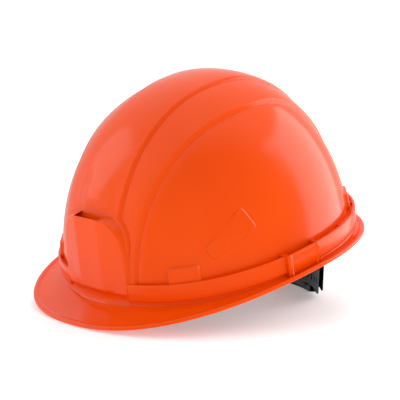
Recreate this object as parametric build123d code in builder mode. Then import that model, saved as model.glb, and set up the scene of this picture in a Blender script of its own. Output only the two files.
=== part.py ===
from build123d import *
import os
from math import cos, hypot, pi, radians, sin

# An industrial safety helmet standing on a table: moulded shell, six-point textile suspension and a nape
# strap whose size is set by a knob. Millimetres. +X is the wearer's left, -Y the wearer's front, +Z up.
# The helmet stands nose down on the tip of its brim and the bottom of the nape adjuster. The origin is the
# centre of the bottom of its bounding box. Shell and suspension are laid out from the rim plane, which leans
# with the helmet; the nape adjuster is laid out from the table, about an upright axis.

os.makedirs("parts", exist_ok=True)

# ---------------------------------------------------------------- stance
NOSE_DOWN = 13.35            # lean of the rim plane, degrees
NAPE_CENTRE_BEHIND = 5.0     # nape axis behind the centre of the rim plane

# ---------------------------------------------------------------- shell
BOWL_HALF_WIDTH = 103.0
BOWL_FRONT = 126.5           # centre to front of the bowl, at the rim plane
BOWL_REAR = 110.0
BOWL_HEIGHT = 141.0
PLAN_POWER = 2.3             # squareness of the outline seen from above
PROFILE_POWER = 2.15         # squareness of the outline seen from the side
WALL = 2.5
BOWL_LEVELS = 9              # outlines that the bowl is lofted through
CAP_ANGLE = 84.0             # where the loft stops short of the crown, degrees of its profile
OUTLINE_POINTS = 36
REACH_HALVINGS = 40          # search for the wall halves its bracket this often

RIDGE_STEP = 1.75            # height of each of the two steps of the crown ridge
INNER_RIDGE = (23.4, 25.3, 31.0)     # half widths at the front, centre and rear of the bowl
OUTER_RIDGE = (36.6, 53.9, 43.6)

SKIRT_MARGIN = 3.0           # skirt outside the bowl
BAND_MARGIN = 5.5            # gutter wall outside the bowl, at the sides and rear
BAND_FRONT_MARGIN = 2.5
BAND_BOTTOM = 5.5
BAND_TOP = 19.0
BAND_WALL = 2.2
GUTTER_FLOOR = 11.0
WEB_THICKNESS = 2.0
WEB_ANGLES = (118, 142)      # gutter webs, degrees round from the front

BRIM_HALF_WIDTH = 114.5
BRIM_FRONT = 161.0
BRIM_REAR = 120.5
BRIM_THICKNESS = 2.4
BRIM_DROOP = 6.3             # tip of the peak below the rim plane
BRIM_REAR_DROOP = 4.8

LAMP_FACE_HALF = 12.7        # front facet of the lamp pocket
LAMP_FACE_BOTTOM = (130.9, 11.3)     # distance ahead of the centre, height
LAMP_FACE_TOP = (127.7, 68.0)
LAMP_FLARE = (34.8, 33.6, 15.5)      # half width of the pocket at its bottom, middle and top
LAMP_FACET_SLOPE = 0.278     # side facets fall back this much for each millimetre outwards
LAMP_WALL = 2.2
LAMP_POCKET_FLOOR = 20.0
LAMP_OVERRUN = 0.2           # block is lofted past both ends by this share of its height, then cut level
LAMP_ROOT = 60.0             # block starts this far ahead of the centre, inside the bowl

SLOT_LENGTH = 29.0           # accessory slot
SLOT_GAP = 4.9
SLOT_CENTRE_AHEAD = 9.5
SLOT_WALL = 2.0
SLOT_END_WALL = 3.5
SLOT_TOP = 20.5

BUMP_STEP = 1.7              # outside bumps over the corner hanger sockets
BUMP_WIDTH = 21.0
BUMP_HEIGHT = 13.0
BUMP_LEVEL = 22.5

# ---------------------------------------------------------------- suspension
HEAD_CENTRE_AHEAD = 8.0      # centre of headband and crown straps ahead of the centre of the rim plane
HEADBAND_HALF_WIDTH = 75.5
HEADBAND_HALF_LENGTH = 98.0
HEADBAND_WALL = 1.8
HEADBAND_BOTTOM = -2.0
HEADBAND_TOP = 30.0
HEADBAND_OPENING = 70.0      # gap at the rear
SWEATBAND_THICKNESS = 4.0
SWEATBAND_REACH = 72.0       # degrees each side of the front
SWEATBAND_OVERHANG = 2.0
SOFT_CLEARANCE = 0.3

HANGER_ANGLES = {            # degrees round from the front; + is the wearer's left
    "front_left": 36, "front_right": -36, "side_left": 90,
    "side_right": -90, "rear_left": 144, "rear_right": -144,
}
HANGER_WIDTH = 26.0
TONGUE_WIDTH = 18.0
TONGUE_THICKNESS = 2.0
TONGUE_SETBACK = 3.8         # tongue's outer face inside the shell wall
TONGUE_TOP = 27.0
SOCKET_DEPTH = 8.0
SOCKET_WALL = 2.0
SOCKET_BOTTOM = 12.0
SOCKET_FIT = 0.3
BRIDGE_LEVEL = 4.5
BRIDGE_THICKNESS = 3.0
LUG_WIDTH = 10.0
LUG_THICKNESS = 2.2
LUG_STANDOFF = 1.3           # clip's lug outside the headband
LUG_TOP = 26.0
PEG_RADIUS = 2.5
PEG_LEVELS = (10.0, 19.0)    # holes in the headband; the pegs sit in the upper row
PEG_FIT = 0.3
PEG_SETBACK = 0.5            # end of the peg inside the headband's inner face

WEBBING_WIDTH = 20.0
WEBBING_THICKNESS = 1.2
WEBBING_SETBACK = 10.6       # middle of the webbing inside the shell wall
WEBBING_SLOT = (21.0, 2.2)   # length and width of the clip's slot for the webbing
CLIP_REACH = 4.2             # clip's plate inside the middle of the webbing
WEBBING_SPRING = 8.0         # height at which the crown arches spring
WEBBING_TAIL = 1.0           # height of the webbing's lower end
ARCH_RISE = 86.0
ARCH_SPACING = 1.4           # each strap lies this much above the last at the crossing
CROSSING_REACH = 24.0        # the arches are flat this far each side of the crossing
KEEPER_SIZE = 32.0
KEEPER_THICKNESS = 1.2
KEEPER_CORNER = 4.0
CROWN_PAD_RADIUS = 26.0
CROWN_PAD_THICKNESS = 4.0
CROWN_PAD_EDGE = 1.0

# ---------------------------------------------------------------- nape adjuster
STRAP_THICKNESS = 1.3
STRAP_GAP = 0.3              # between neighbouring layers
LEFT_STRAP_INSIDE = 81.8     # radius of the left strap's inner face
STRAP_BOTTOM = 3.0
STRAP_TOP = 28.5
STRAP_END = 26.0             # racks run this many degrees past the middle
ARM_END = 100.0              # arms run this many degrees round, past the pivots
ARM_RISE = 0.495             # slope of the arms up to the pivots
PIVOT_LEVEL = 40.3
PIVOT_EYE_RADIUS = 7.5
PIVOT_EYE_HOLE = 4.2
ARM_HALF_HEIGHT = 7.3
GRIP_SLOT = (2.0, 5.0)       # width and height of the small slots in the arms
GRIP_SLOT_ANGLES = (62, 66.5, 71, 75.5)
GRIP_SLOT_RISE = 6.5         # middle of the slots above the arm's lower edge

TAB_RADIUS = 7.0             # headband's pivot tab
PIN_RADIUS = 2.5
PIN_FIT = 0.08
PIN_HEAD_RADIUS = 5.5
PIN_HEAD = 1.6
PIN_HEAD_EDGE = 0.5

GEAR_MODULE = 1.0
PINION_TEETH = 10
ADDENDUM = 0.9               # of the module
DEDENDUM = 1.2
TOOTH_TIP = 0.66             # thickness of a tooth
RACK_TOOTH_ROOT = 1.65
PINION_TOOTH_ROOT = 1.76
PINION_LEVEL = 16.0
SHAFT_RADIUS = 3.0
SHAFT_FIT = 0.08
PILOT_RADIUS = 1.5
RACK_REACH = 19.5            # racks' windows, degrees each side of the middle

BACK_THICKNESS = 1.6
BACK_REACH = 30.0            # degrees each side of the middle
COVER_THICKNESS = 1.7
COVER_WING_REACH = 46.0
COVER_WING_BOTTOM = 7.0
COVER_WING_TOP = 28.5
COVER_REACH = 29.0
ADJUSTER_TOP = 32.0
ADJUSTER_WALL = 2.2
ADJUSTER_CORNER = 2.4
SCREW_RADIUS = 1.2
SCREW_FIT = 0.05
SCREW_LENGTH = 7.0
SCREW_HEAD_RADIUS = 2.8
SCREW_HEAD = 1.6
SCREW_RECESS = (3.9, 0.7)    # cross recess: length and width of its arms

CLICK_RING_RADIUS = 11.0
CLICK_RING_WALL = 1.8
CLICK_RING_HEIGHT = 2.6
CLICK_TEETH = 24
CLICK_NOTCH = 1.2
BOSS_STEP = 0.6              # flat boss above the curved cover
BOSS_MARGIN = 0.5
KNOB_RADIUS = 16.0
KNOB_DEPTH = 9.5
KNOB_WALL = 1.8
KNOB_SCALLOPS = 12
KNOB_SCALLOP_RADIUS = 3.2
KNOB_SCALLOP_DEPTH = 1.6
KNOB_EDGE = 0.9
KNOB_HUB_RADIUS = 5.0
KNOB_FIT = 0.05
KNOB_GAP = 0.4               # knob above the cover
PAWL_THICKNESS = 1.6
PAWL_ARM_WIDTH = 1.1
PAWL_ARM_RADIUS = 9.0
PAWL_ARM_SWEEP = 95.0
PAWL_TIP_RADIUS = 0.9
PAWL_CLEARANCE = 0.15

NAPE_PAD_THICKNESS = 4.0
NAPE_PAD_REACH = 26.0
NAPE_PAD_CORNER = 6.0

# ---------------------------------------------------------------- where things stand
LEAN = radians(NOSE_DOWN)
FRONT_TIP = -BRIM_FRONT * cos(LEAN) + (BRIM_DROOP - BRIM_THICKNESS) * sin(LEAN)
REAR_TIP = BRIM_REAR * cos(LEAN) + BRIM_REAR_DROOP * sin(LEAN)
RIM_Y = -(FRONT_TIP + REAR_TIP) / 2
RIM_Z = BRIM_FRONT * sin(LEAN) + BRIM_DROOP * cos(LEAN)

RIM = Plane(origin=(0, RIM_Y, RIM_Z), x_dir=(1, 0, 0), z_dir=(0, -sin(LEAN), cos(LEAN)))
SIDE = Plane(origin=RIM.origin, x_dir=RIM.y_dir, z_dir=RIM.x_dir)     # sketched in (back, up)
NAPE_Y = RIM_Y + NAPE_CENTRE_BEHIND
NAPE_AXIS = Axis((0, NAPE_Y, 0), (0, 0, -1))
NAPE_SIDE = Plane(origin=(0, NAPE_Y, 0), x_dir=(0, 1, 0), z_dir=(1, 0, 0))
PIVOT = (0, NAPE_Y, PIVOT_LEVEL)
KNOB_PLANE = Plane(origin=(0, NAPE_Y, PINION_LEVEL), x_dir=(1, 0, 0), z_dir=(0, 1, 0))   # faces rearwards


# ---------------------------------------------------------------- outlines of the shell
def egg_point(turn, half_width, front, rear, power):
    """Point of an egg-shaped superellipse, at a turn in degrees anticlockwise from +X."""
    c, s = cos(radians(turn)), sin(radians(turn))
    reach = (abs(c) ** power + abs(s) ** power) ** (-1 / power)
    return (half_width * c * reach, (rear if s > 0 else front) * s * reach)


def egg(level, half_width, front, rear, power=PLAN_POWER):
    """Face of an egg-shaped outline at a height above the rim plane."""
    turns = [360 * k / OUTLINE_POINTS for k in range(OUTLINE_POINTS)]
    with BuildSketch(RIM.offset(level)) as face:
        with BuildLine():
            Spline(*[egg_point(turn, half_width, front, rear, power) for turn in turns], periodic=True)
        make_face()
    return face.sketch


def wall_reach(angle, inside=WALL):
    """Distance from the suspension's centre to the bowl's wall, at an angle round from the front."""
    across, back = sin(radians(angle)), -cos(radians(angle))
    near, far = 0.0, BOWL_FRONT + BOWL_REAR
    for _ in range(REACH_HALVINGS):
        reach = (near + far) / 2
        x, y = reach * across, reach * back - HEAD_CENTRE_AHEAD
        length = (BOWL_REAR if y > 0 else BOWL_FRONT) - inside
        within = (abs(x) / (BOWL_HALF_WIDTH - inside)) ** PLAN_POWER + (abs(y) / length) ** PLAN_POWER < 1
        near, far = (reach, far) if within else (near, reach)
    return near


def headband_reach(angle, inside=0.0):
    """Distance from the suspension's centre to the headband, at an angle round from the front."""
    a, b = HEADBAND_HALF_WIDTH - inside, HEADBAND_HALF_LENGTH - inside
    return a * b / hypot(b * sin(radians(angle)), a * cos(radians(angle)))


def radial(angle):
    """Upright plane of the suspension at an angle round from the front, sketched in (outwards, up)."""
    outwards = (sin(radians(angle)), -cos(radians(angle)), 0)
    centre = Plane(origin=(0, -HEAD_CENTRE_AHEAD, 0), x_dir=outwards, z_dir=(outwards[1], -outwards[0], 0))
    return Plane(RIM.location * centre.location)


def across(angle, reach):
    """Plane that faces outwards at a reach along a radial line, sketched in (sideways, up)."""
    line = radial(angle)
    return Plane(origin=line.origin + line.x_dir * reach, x_dir=-line.z_dir, z_dir=line.x_dir)


def bowl(growth):
    """Plain solid bowl, thicker all over by a growth, without its ridges."""
    faces = []
    for k in range(BOWL_LEVELS):
        rise = radians(CAP_ANGLE * k / (BOWL_LEVELS - 1))
        size = cos(rise) ** (2 / PROFILE_POWER)
        level = (BOWL_HEIGHT + growth) * sin(rise) ** (2 / PROFILE_POWER)
        faces.append(egg(level, size * (BOWL_HALF_WIDTH + growth), size * (BOWL_FRONT + growth),
                         size * (BOWL_REAR + growth)))
    with BuildPart(mode=Mode.PRIVATE) as solid:
        loft(faces)
    return solid.part


def ridge(growth, half_widths, margin):
    """Slice of a bowl between two bowed edges that run from front to rear."""
    front, centre, rear = [half - margin for half in half_widths]
    with BuildPart(mode=Mode.PRIVATE) as solid:
        with BuildSketch(RIM.offset(GUTTER_FLOOR)):
            with BuildLine():
                right = ThreePointArc((front, -BOWL_FRONT), (centre, 0), (rear, BOWL_REAR))
                left = ThreePointArc((-front, -BOWL_FRONT), (-centre, 0), (-rear, BOWL_REAR))
                Polyline(right @ 1, (0, 2 * BOWL_REAR), left @ 1)
                Polyline(right @ 0, (0, -2 * BOWL_FRONT), left @ 0)
            make_face()
        extrude(amount=2 * BOWL_HEIGHT)
        add(bowl(growth), mode=Mode.INTERSECT)
    return solid.part


def over_brim(height):
    """Curved slab from the brim's underside up to a height above it, bowed down to front and rear."""
    with BuildPart(mode=Mode.PRIVATE) as slab:
        with BuildSketch(SIDE):
            with BuildLine():
                edges = []
                for rise in (0, height):
                    peak = TangentArc((0, rise), (-BRIM_FRONT, rise - BRIM_DROOP), tangent=(-1, 0))
                    nape = TangentArc((0, rise), (BRIM_REAR, rise - BRIM_REAR_DROOP), tangent=(1, 0))
                    edges.append((peak, nape))
                (low_peak, low_nape), (high_peak, high_nape) = edges
                Line(low_peak @ 1, high_peak @ 1)
                Line(low_nape @ 1, high_nape @ 1)
            make_face()
        extrude(amount=BRIM_HALF_WIDTH, both=True)
    return slab.part


def around_bowl(level, height, margin, front_margin=None):
    """Upright solid whose outline follows the bowl, outside it by a margin."""
    front = BOWL_FRONT + (margin if front_margin is None else front_margin)
    with BuildPart(mode=Mode.PRIVATE) as solid:
        extrude(egg(level, BOWL_HALF_WIDTH + margin, front, BOWL_REAR + margin), amount=height)
    return solid.part


def lamp_block(inset, bottom, top):
    """Faceted block of the lamp pocket, or its hollow when inset by the pocket's wall."""
    bottom_front, bottom_level = LAMP_FACE_BOTTOM
    top_front, top_level = LAMP_FACE_TOP
    low, middle, high = LAMP_FLARE
    with BuildPart(mode=Mode.PRIVATE) as block:
        levels = (-LAMP_OVERRUN, 0, 0.5, 1, 1 + LAMP_OVERRUN)
        for share, flare in zip(levels, (low, low, middle, high, high)):
            front = bottom_front + share * (top_front - bottom_front) - inset
            side = flare - inset
            fallen = front - LAMP_FACET_SLOPE * (side - LAMP_FACE_HALF + inset)
            with BuildSketch(RIM.offset(bottom_level + share * (top_level - bottom_level))):
                Polygon((-LAMP_FACE_HALF + inset, -front), (LAMP_FACE_HALF - inset, -front), (side, -fallen),
                        (side, -LAMP_ROOT), (-side, -LAMP_ROOT), (-side, -fallen), align=None)
        loft()
        with BuildSketch(RIM.offset(bottom)):
            Rectangle(2 * BOWL_HALF_WIDTH, 4 * BOWL_FRONT)
        extrude(amount=top - bottom, mode=Mode.INTERSECT)
    return block.part


def beside_bowl(side, far, length, bottom, top):
    """Box beside the bowl at an accessory slot, from within its wall out to a distance from the middle."""
    near = BOWL_HALF_WIDTH - 2 * WALL
    with BuildPart(RIM, mode=Mode.PRIVATE) as box:
        with Locations((side * (near + far) / 2, -SLOT_CENTRE_AHEAD, (bottom + top) / 2)):
            Box(far - near, length, top - bottom)
    return box.part


def upright_box(angle, near, far, width, bottom, top):
    """Box that stands across a radial line from the suspension's centre, from one reach to another."""
    with BuildPart(mode=Mode.PRIVATE) as box:
        with BuildSketch(radial(angle)):
            with Locations(((near + far) / 2, (bottom + top) / 2)):
                Rectangle(far - near, top - bottom)
        extrude(amount=width / 2, both=True)
    return box.part


# ---------------------------------------------------------------- shell
with BuildPart() as shell:
    # brim and skirt
    add(over_brim(BRIM_THICKNESS))
    extrude(egg(-BOWL_HEIGHT / 2, BRIM_HALF_WIDTH, BRIM_FRONT, BRIM_REAR), amount=BOWL_HEIGHT,
            mode=Mode.INTERSECT)
    with BuildPart(mode=Mode.PRIVATE) as skirt:
        add(over_brim(BAND_TOP))
        add(around_bowl(-BAND_TOP, BAND_TOP + BAND_BOTTOM, SKIRT_MARGIN), mode=Mode.INTERSECT)
    add(skirt.part)

    # rain gutter: a standing wall round the bowl, with webs across it at the rear
    add(around_bowl(BAND_BOTTOM, BAND_TOP - BAND_BOTTOM, BAND_MARGIN, BAND_FRONT_MARGIN))
    add(around_bowl(GUTTER_FLOOR, BAND_TOP - GUTTER_FLOOR, BAND_MARGIN - BAND_WALL,
                    BAND_FRONT_MARGIN - BAND_WALL), mode=Mode.SUBTRACT)
    for angle in WEB_ANGLES:
        for side in (-1, 1):
            reach = wall_reach(side * angle, -BAND_MARGIN + BAND_WALL / 2)
            add(upright_box(side * angle, reach - 2 * BAND_MARGIN, reach, WEB_THICKNESS,
                            GUTTER_FLOOR, BAND_TOP))

    # crown ridges, lamp pocket, accessory slots and bumps over the corner sockets
    add(ridge(RIDGE_STEP, OUTER_RIDGE, 0))
    add(ridge(2 * RIDGE_STEP, INNER_RIDGE, 0))
    add(lamp_block(0, LAMP_FACE_BOTTOM[1], LAMP_FACE_TOP[1]))
    add(lamp_block(LAMP_WALL, LAMP_POCKET_FLOOR, LAMP_FACE_TOP[1]), mode=Mode.SUBTRACT)
    slot_outside = BOWL_HALF_WIDTH + SLOT_GAP
    for side in (-1, 1):
        add(beside_bowl(side, slot_outside + SLOT_WALL, SLOT_LENGTH + 2 * SLOT_END_WALL, 0, SLOT_TOP))
        add(beside_bowl(side, slot_outside, SLOT_LENGTH, GUTTER_FLOOR, SLOT_TOP + WALL), mode=Mode.SUBTRACT)
    add(bowl(0))
    for angle in HANGER_ANGLES.values():
        if abs(angle) != 90:
            with BuildPart(mode=Mode.PRIVATE) as bump:
                add(bowl(BUMP_STEP))
                bottom = BUMP_LEVEL - BUMP_HEIGHT / 2
                add(upright_box(angle, BOWL_HALF_WIDTH / 2, 2 * BOWL_HALF_WIDTH, BUMP_WIDTH,
                                bottom, bottom + BUMP_HEIGHT), mode=Mode.INTERSECT)
            add(bump.part)

    # hollow inside
    add(bowl(-WALL), mode=Mode.SUBTRACT)
    with BuildPart(mode=Mode.PRIVATE) as ridge_hollow:
        add(ridge(RIDGE_STEP - WALL, OUTER_RIDGE, WALL))
        add(ridge(2 * RIDGE_STEP - WALL, INNER_RIDGE, WALL))
        add(lamp_block(-WALL, 0, LAMP_FACE_TOP[1] + WALL), mode=Mode.SUBTRACT)
    add(ridge_hollow.part, mode=Mode.SUBTRACT)
    add(around_bowl(-BOWL_HEIGHT / 2, BOWL_HEIGHT / 2 + GUTTER_FLOOR - WALL, SKIRT_MARGIN - WALL),
        mode=Mode.SUBTRACT)

    # sockets for the hangers, open downwards
    for angle in HANGER_ANGLES.values():
        reach = wall_reach(angle)
        with BuildPart(mode=Mode.PRIVATE) as socket:
            add(upright_box(angle, reach - SOCKET_DEPTH, reach + WALL, TONGUE_WIDTH + 2 * SOCKET_WALL,
                            SOCKET_BOTTOM, TONGUE_TOP + SOCKET_FIT + SOCKET_WALL))
            add(bowl(-WALL / 2), mode=Mode.INTERSECT)
        add(socket.part)
        tongue_out = reach - TONGUE_SETBACK
        add(upright_box(angle, tongue_out - TONGUE_THICKNESS - SOCKET_FIT, tongue_out + SOCKET_FIT,
                        TONGUE_WIDTH + 2 * SOCKET_FIT, SOCKET_BOTTOM - WALL, TONGUE_TOP + SOCKET_FIT),
            mode=Mode.SUBTRACT)
shell.part.label = "shell"
export_step(shell.part, "parts/shell.step")


# ---------------------------------------------------------------- headband and its soft lining
def ellipse_ring(level, height, inside, thickness):
    """Oval ring round the head: its outer face lies inside the headband's by a distance."""
    with BuildPart(mode=Mode.PRIVATE) as ring:
        with BuildSketch(RIM.offset(level)):
            with Locations((0, -HEAD_CENTRE_AHEAD)):
                Ellipse(HEADBAND_HALF_WIDTH - inside, HEADBAND_HALF_LENGTH - inside)
                Ellipse(HEADBAND_HALF_WIDTH - inside - thickness, HEADBAND_HALF_LENGTH - inside - thickness,
                        mode=Mode.SUBTRACT)
        extrude(amount=height)
    return ring.part


with BuildPart() as headband:
    add(ellipse_ring(HEADBAND_BOTTOM, HEADBAND_TOP - HEADBAND_BOTTOM, 0, HEADBAND_WALL))
    with BuildPart(mode=Mode.PRIVATE) as pivot_tabs:
        with BuildSketch(NAPE_SIDE):
            with Locations((0, PIVOT_LEVEL)):
                Circle(TAB_RADIUS)
            with Locations((0, PIVOT_LEVEL + TAB_RADIUS)):
                Rectangle(2 * TAB_RADIUS, 2 * TAB_RADIUS)
        extrude(amount=HEADBAND_HALF_WIDTH, both=True)
        add(ellipse_ring(HEADBAND_BOTTOM - 2 * TAB_RADIUS, 4 * TAB_RADIUS, 0, HEADBAND_WALL),
            mode=Mode.INTERSECT)
    add(pivot_tabs.part)
    with BuildSketch(RIM.offset(HEADBAND_BOTTOM)):
        with Locations((0, HEADBAND_HALF_LENGTH)):
            Rectangle(HEADBAND_OPENING, HEADBAND_HALF_LENGTH)
    extrude(amount=HEADBAND_TOP - HEADBAND_BOTTOM, mode=Mode.SUBTRACT)
    for angle in HANGER_ANGLES.values():
        for level in PEG_LEVELS:
            with BuildSketch(across(angle, headband_reach(angle) / 2)):
                with Locations((0, level)):
                    Circle(PEG_RADIUS + PEG_FIT)
            extrude(amount=HEADBAND_HALF_LENGTH, mode=Mode.SUBTRACT)
    with BuildSketch(NAPE_SIDE):
        with Locations((0, PIVOT_LEVEL)):
            Circle(PIN_RADIUS + PIN_FIT)
    extrude(amount=HEADBAND_HALF_WIDTH, both=True, mode=Mode.SUBTRACT)
headband.part.label = "headband"
export_step(headband.part, "parts/headband.step")

with BuildPart() as sweatband:
    add(ellipse_ring(HEADBAND_BOTTOM - SWEATBAND_OVERHANG,
                     HEADBAND_TOP - HEADBAND_BOTTOM + 2 * SWEATBAND_OVERHANG,
                     HEADBAND_WALL + SOFT_CLEARANCE, SWEATBAND_THICKNESS))
    edge = 2 * HEADBAND_HALF_LENGTH
    with BuildSketch(RIM.offset(-edge / 2)):
        with Locations((0, -HEAD_CENTRE_AHEAD)):
            with BuildLine():
                swing = radians(SWEATBAND_REACH)
                Polyline((0, 0), (edge * sin(swing), -edge * cos(swing)), (0, -edge),
                         (-edge * sin(swing), -edge * cos(swing)), close=True)
            make_face()
    extrude(amount=edge, mode=Mode.INTERSECT)
sweatband.part.label = "sweatband"
export_step(sweatband.part, "parts/sweatband.step")

# ---------------------------------------------------------------- hangers
for side_name, angle in HANGER_ANGLES.items():
    reach = wall_reach(angle)
    tongue_out = reach - TONGUE_SETBACK
    tongue_in = tongue_out - TONGUE_THICKNESS
    lug_in = headband_reach(angle) + LUG_STANDOFF
    webbing = reach - WEBBING_SETBACK
    with BuildPart() as hanger:
        add(upright_box(angle, tongue_in, tongue_out, TONGUE_WIDTH, BRIDGE_LEVEL, TONGUE_TOP))
        add(upright_box(angle, lug_in, lug_in + LUG_THICKNESS, LUG_WIDTH, BRIDGE_LEVEL, LUG_TOP))
        add(upright_box(angle, webbing - CLIP_REACH, tongue_out, HANGER_WIDTH,
                        BRIDGE_LEVEL, BRIDGE_LEVEL + BRIDGE_THICKNESS))
        add(upright_box(angle, lug_in, webbing, LUG_WIDTH, BRIDGE_LEVEL, BRIDGE_LEVEL + BRIDGE_THICKNESS))
        slot_length, slot_width = WEBBING_SLOT
        add(upright_box(angle, webbing - slot_width / 2, webbing + slot_width / 2, slot_length,
                        BRIDGE_LEVEL, BRIDGE_LEVEL + BRIDGE_THICKNESS), mode=Mode.SUBTRACT)
        peg_start = headband_reach(angle, HEADBAND_WALL) + PEG_SETBACK
        with BuildSketch(across(angle, peg_start)):
            with Locations((0, PEG_LEVELS[-1])):
                Circle(PEG_RADIUS)
        extrude(amount=lug_in + LUG_THICKNESS / 2 - peg_start)
    hanger.part.label = f"hanger_{side_name}"
    export_step(hanger.part, f"parts/hanger_{side_name}.step")


# ---------------------------------------------------------------- crown straps
def crown_strap(angle, layer):
    """Flat webbing arch from one hanger up over the head to the one opposite."""
    near = wall_reach(angle) - WEBBING_SETBACK
    far = wall_reach(angle - 180 if angle > 0 else angle + 180) - WEBBING_SETBACK
    rise = ARCH_RISE + layer * ARCH_SPACING
    half = WEBBING_THICKNESS / 2
    with BuildPart(mode=Mode.PRIVATE) as strap:
        with BuildSketch(radial(angle)):
            with BuildLine():
                rails = []
                for offset_out in (-half, half):
                    top = rise + offset_out + half
                    start = Line((near + offset_out, WEBBING_TAIL), (near + offset_out, WEBBING_SPRING))
                    rise_near = EllipticalCenterArc((CROSSING_REACH, WEBBING_SPRING),
                                                    near + offset_out - CROSSING_REACH, top, arc_size=90)
                    rise_far = EllipticalCenterArc((-CROSSING_REACH, WEBBING_SPRING),
                                                   far + offset_out - CROSSING_REACH, top,
                                                   start_angle=90, arc_size=90)
                    Line(rise_near @ 1, rise_far @ 0)
                    end = Line((-far - offset_out, WEBBING_SPRING), (-far - offset_out, WEBBING_TAIL))
                    rails.append((start @ 0, end @ 1))
                Line(rails[0][0], rails[1][0])
                Line(rails[0][1], rails[1][1])
            make_face()
        extrude(amount=WEBBING_WIDTH / 2, both=True)
    return strap.part


CROWN_STRAPS = {"crown_strap_cross_a": "front_left", "crown_strap_cross_b": "front_right",
                "crown_strap_side": "side_left"}
for layer, (name, side_name) in enumerate(CROWN_STRAPS.items()):
    with BuildPart() as webbing_strap:
        add(crown_strap(HANGER_ANGLES[side_name], layer))
    webbing_strap.part.label = name
    export_step(webbing_strap.part, f"parts/{name}.step")

crossing_bottom = WEBBING_SPRING + ARCH_RISE
crossing_top = crossing_bottom + WEBBING_THICKNESS + (len(CROWN_STRAPS) - 1) * ARCH_SPACING
with BuildPart() as crown_keeper:
    with BuildSketch(RIM.offset(crossing_top + SOFT_CLEARANCE)):
        with Locations((0, -HEAD_CENTRE_AHEAD)):
            RectangleRounded(KEEPER_SIZE, KEEPER_SIZE, KEEPER_CORNER)
    extrude(amount=KEEPER_THICKNESS)
crown_keeper.part.label = "crown_keeper"
export_step(crown_keeper.part, "parts/crown_keeper.step")

with BuildPart() as crown_pad:
    with BuildSketch(RIM.offset(crossing_bottom - SOFT_CLEARANCE)):
        with Locations((0, -HEAD_CENTRE_AHEAD)):
            Circle(CROWN_PAD_RADIUS)
    extrude(amount=-CROWN_PAD_THICKNESS)
    fillet(crown_pad.edges(), CROWN_PAD_EDGE)
crown_pad.part.label = "crown_pad"
export_step(crown_pad.part, "parts/crown_pad.step")


# ---------------------------------------------------------------- nape straps
PITCH_RADIUS = GEAR_MODULE * PINION_TEETH / 2
TIP_RADIUS = PITCH_RADIUS + ADDENDUM * GEAR_MODULE
ROOT_RADIUS = PITCH_RADIUS - DEDENDUM * GEAR_MODULE
RIGHT_STRAP_INSIDE = LEFT_STRAP_INSIDE + STRAP_THICKNESS + STRAP_GAP
BACK_INSIDE = LEFT_STRAP_INSIDE - STRAP_GAP - BACK_THICKNESS
COVER_INSIDE = RIGHT_STRAP_INSIDE + STRAP_THICKNESS + STRAP_GAP
BOSS_FACE = COVER_INSIDE + COVER_THICKNESS + BOSS_STEP
KNOB_BACK = BOSS_FACE + KNOB_GAP
KNOB_FACE = KNOB_BACK + KNOB_DEPTH


def nape_arc(inside, thickness, bottom, top, start, end):
    """Part of an upright tube round the nape axis, between two angles from the middle of the nape."""
    swing = radians(start)
    spoke = Plane(origin=(0, NAPE_Y, 0), x_dir=(sin(swing), cos(swing), 0),
                  z_dir=(cos(swing), -sin(swing), 0))
    with BuildPart(mode=Mode.PRIVATE) as arc:
        with BuildSketch(spoke):
            with Locations((inside + thickness / 2, (bottom + top) / 2)):
                Rectangle(thickness, top - bottom)
        revolve(axis=NAPE_AXIS, revolution_arc=end - start)
    return arc.part


def rack_window(middle, edge_side):
    """Outline of a rack's window, developed flat: clear on one side, toothed on the other."""
    pitch_line = edge_side * PITCH_RADIUS
    tip = pitch_line - edge_side * ADDENDUM * GEAR_MODULE
    root = pitch_line + edge_side * DEDENDUM * GEAR_MODULE
    clear = -edge_side * (TIP_RADIUS + STRAP_GAP)
    half_length = middle * radians(RACK_REACH)
    teeth = int(half_length / (pi * GEAR_MODULE))
    points = [(-half_length, clear), (-half_length, root)]
    for k in range(-teeth, teeth):
        centre = (k + 0.5) * pi * GEAR_MODULE
        points += [(centre - RACK_TOOTH_ROOT / 2, root), (centre - TOOTH_TIP / 2, tip),
                   (centre + TOOTH_TIP / 2, tip), (centre + RACK_TOOTH_ROOT / 2, root)]
    return points + [(half_length, root), (half_length, clear)]


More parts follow.
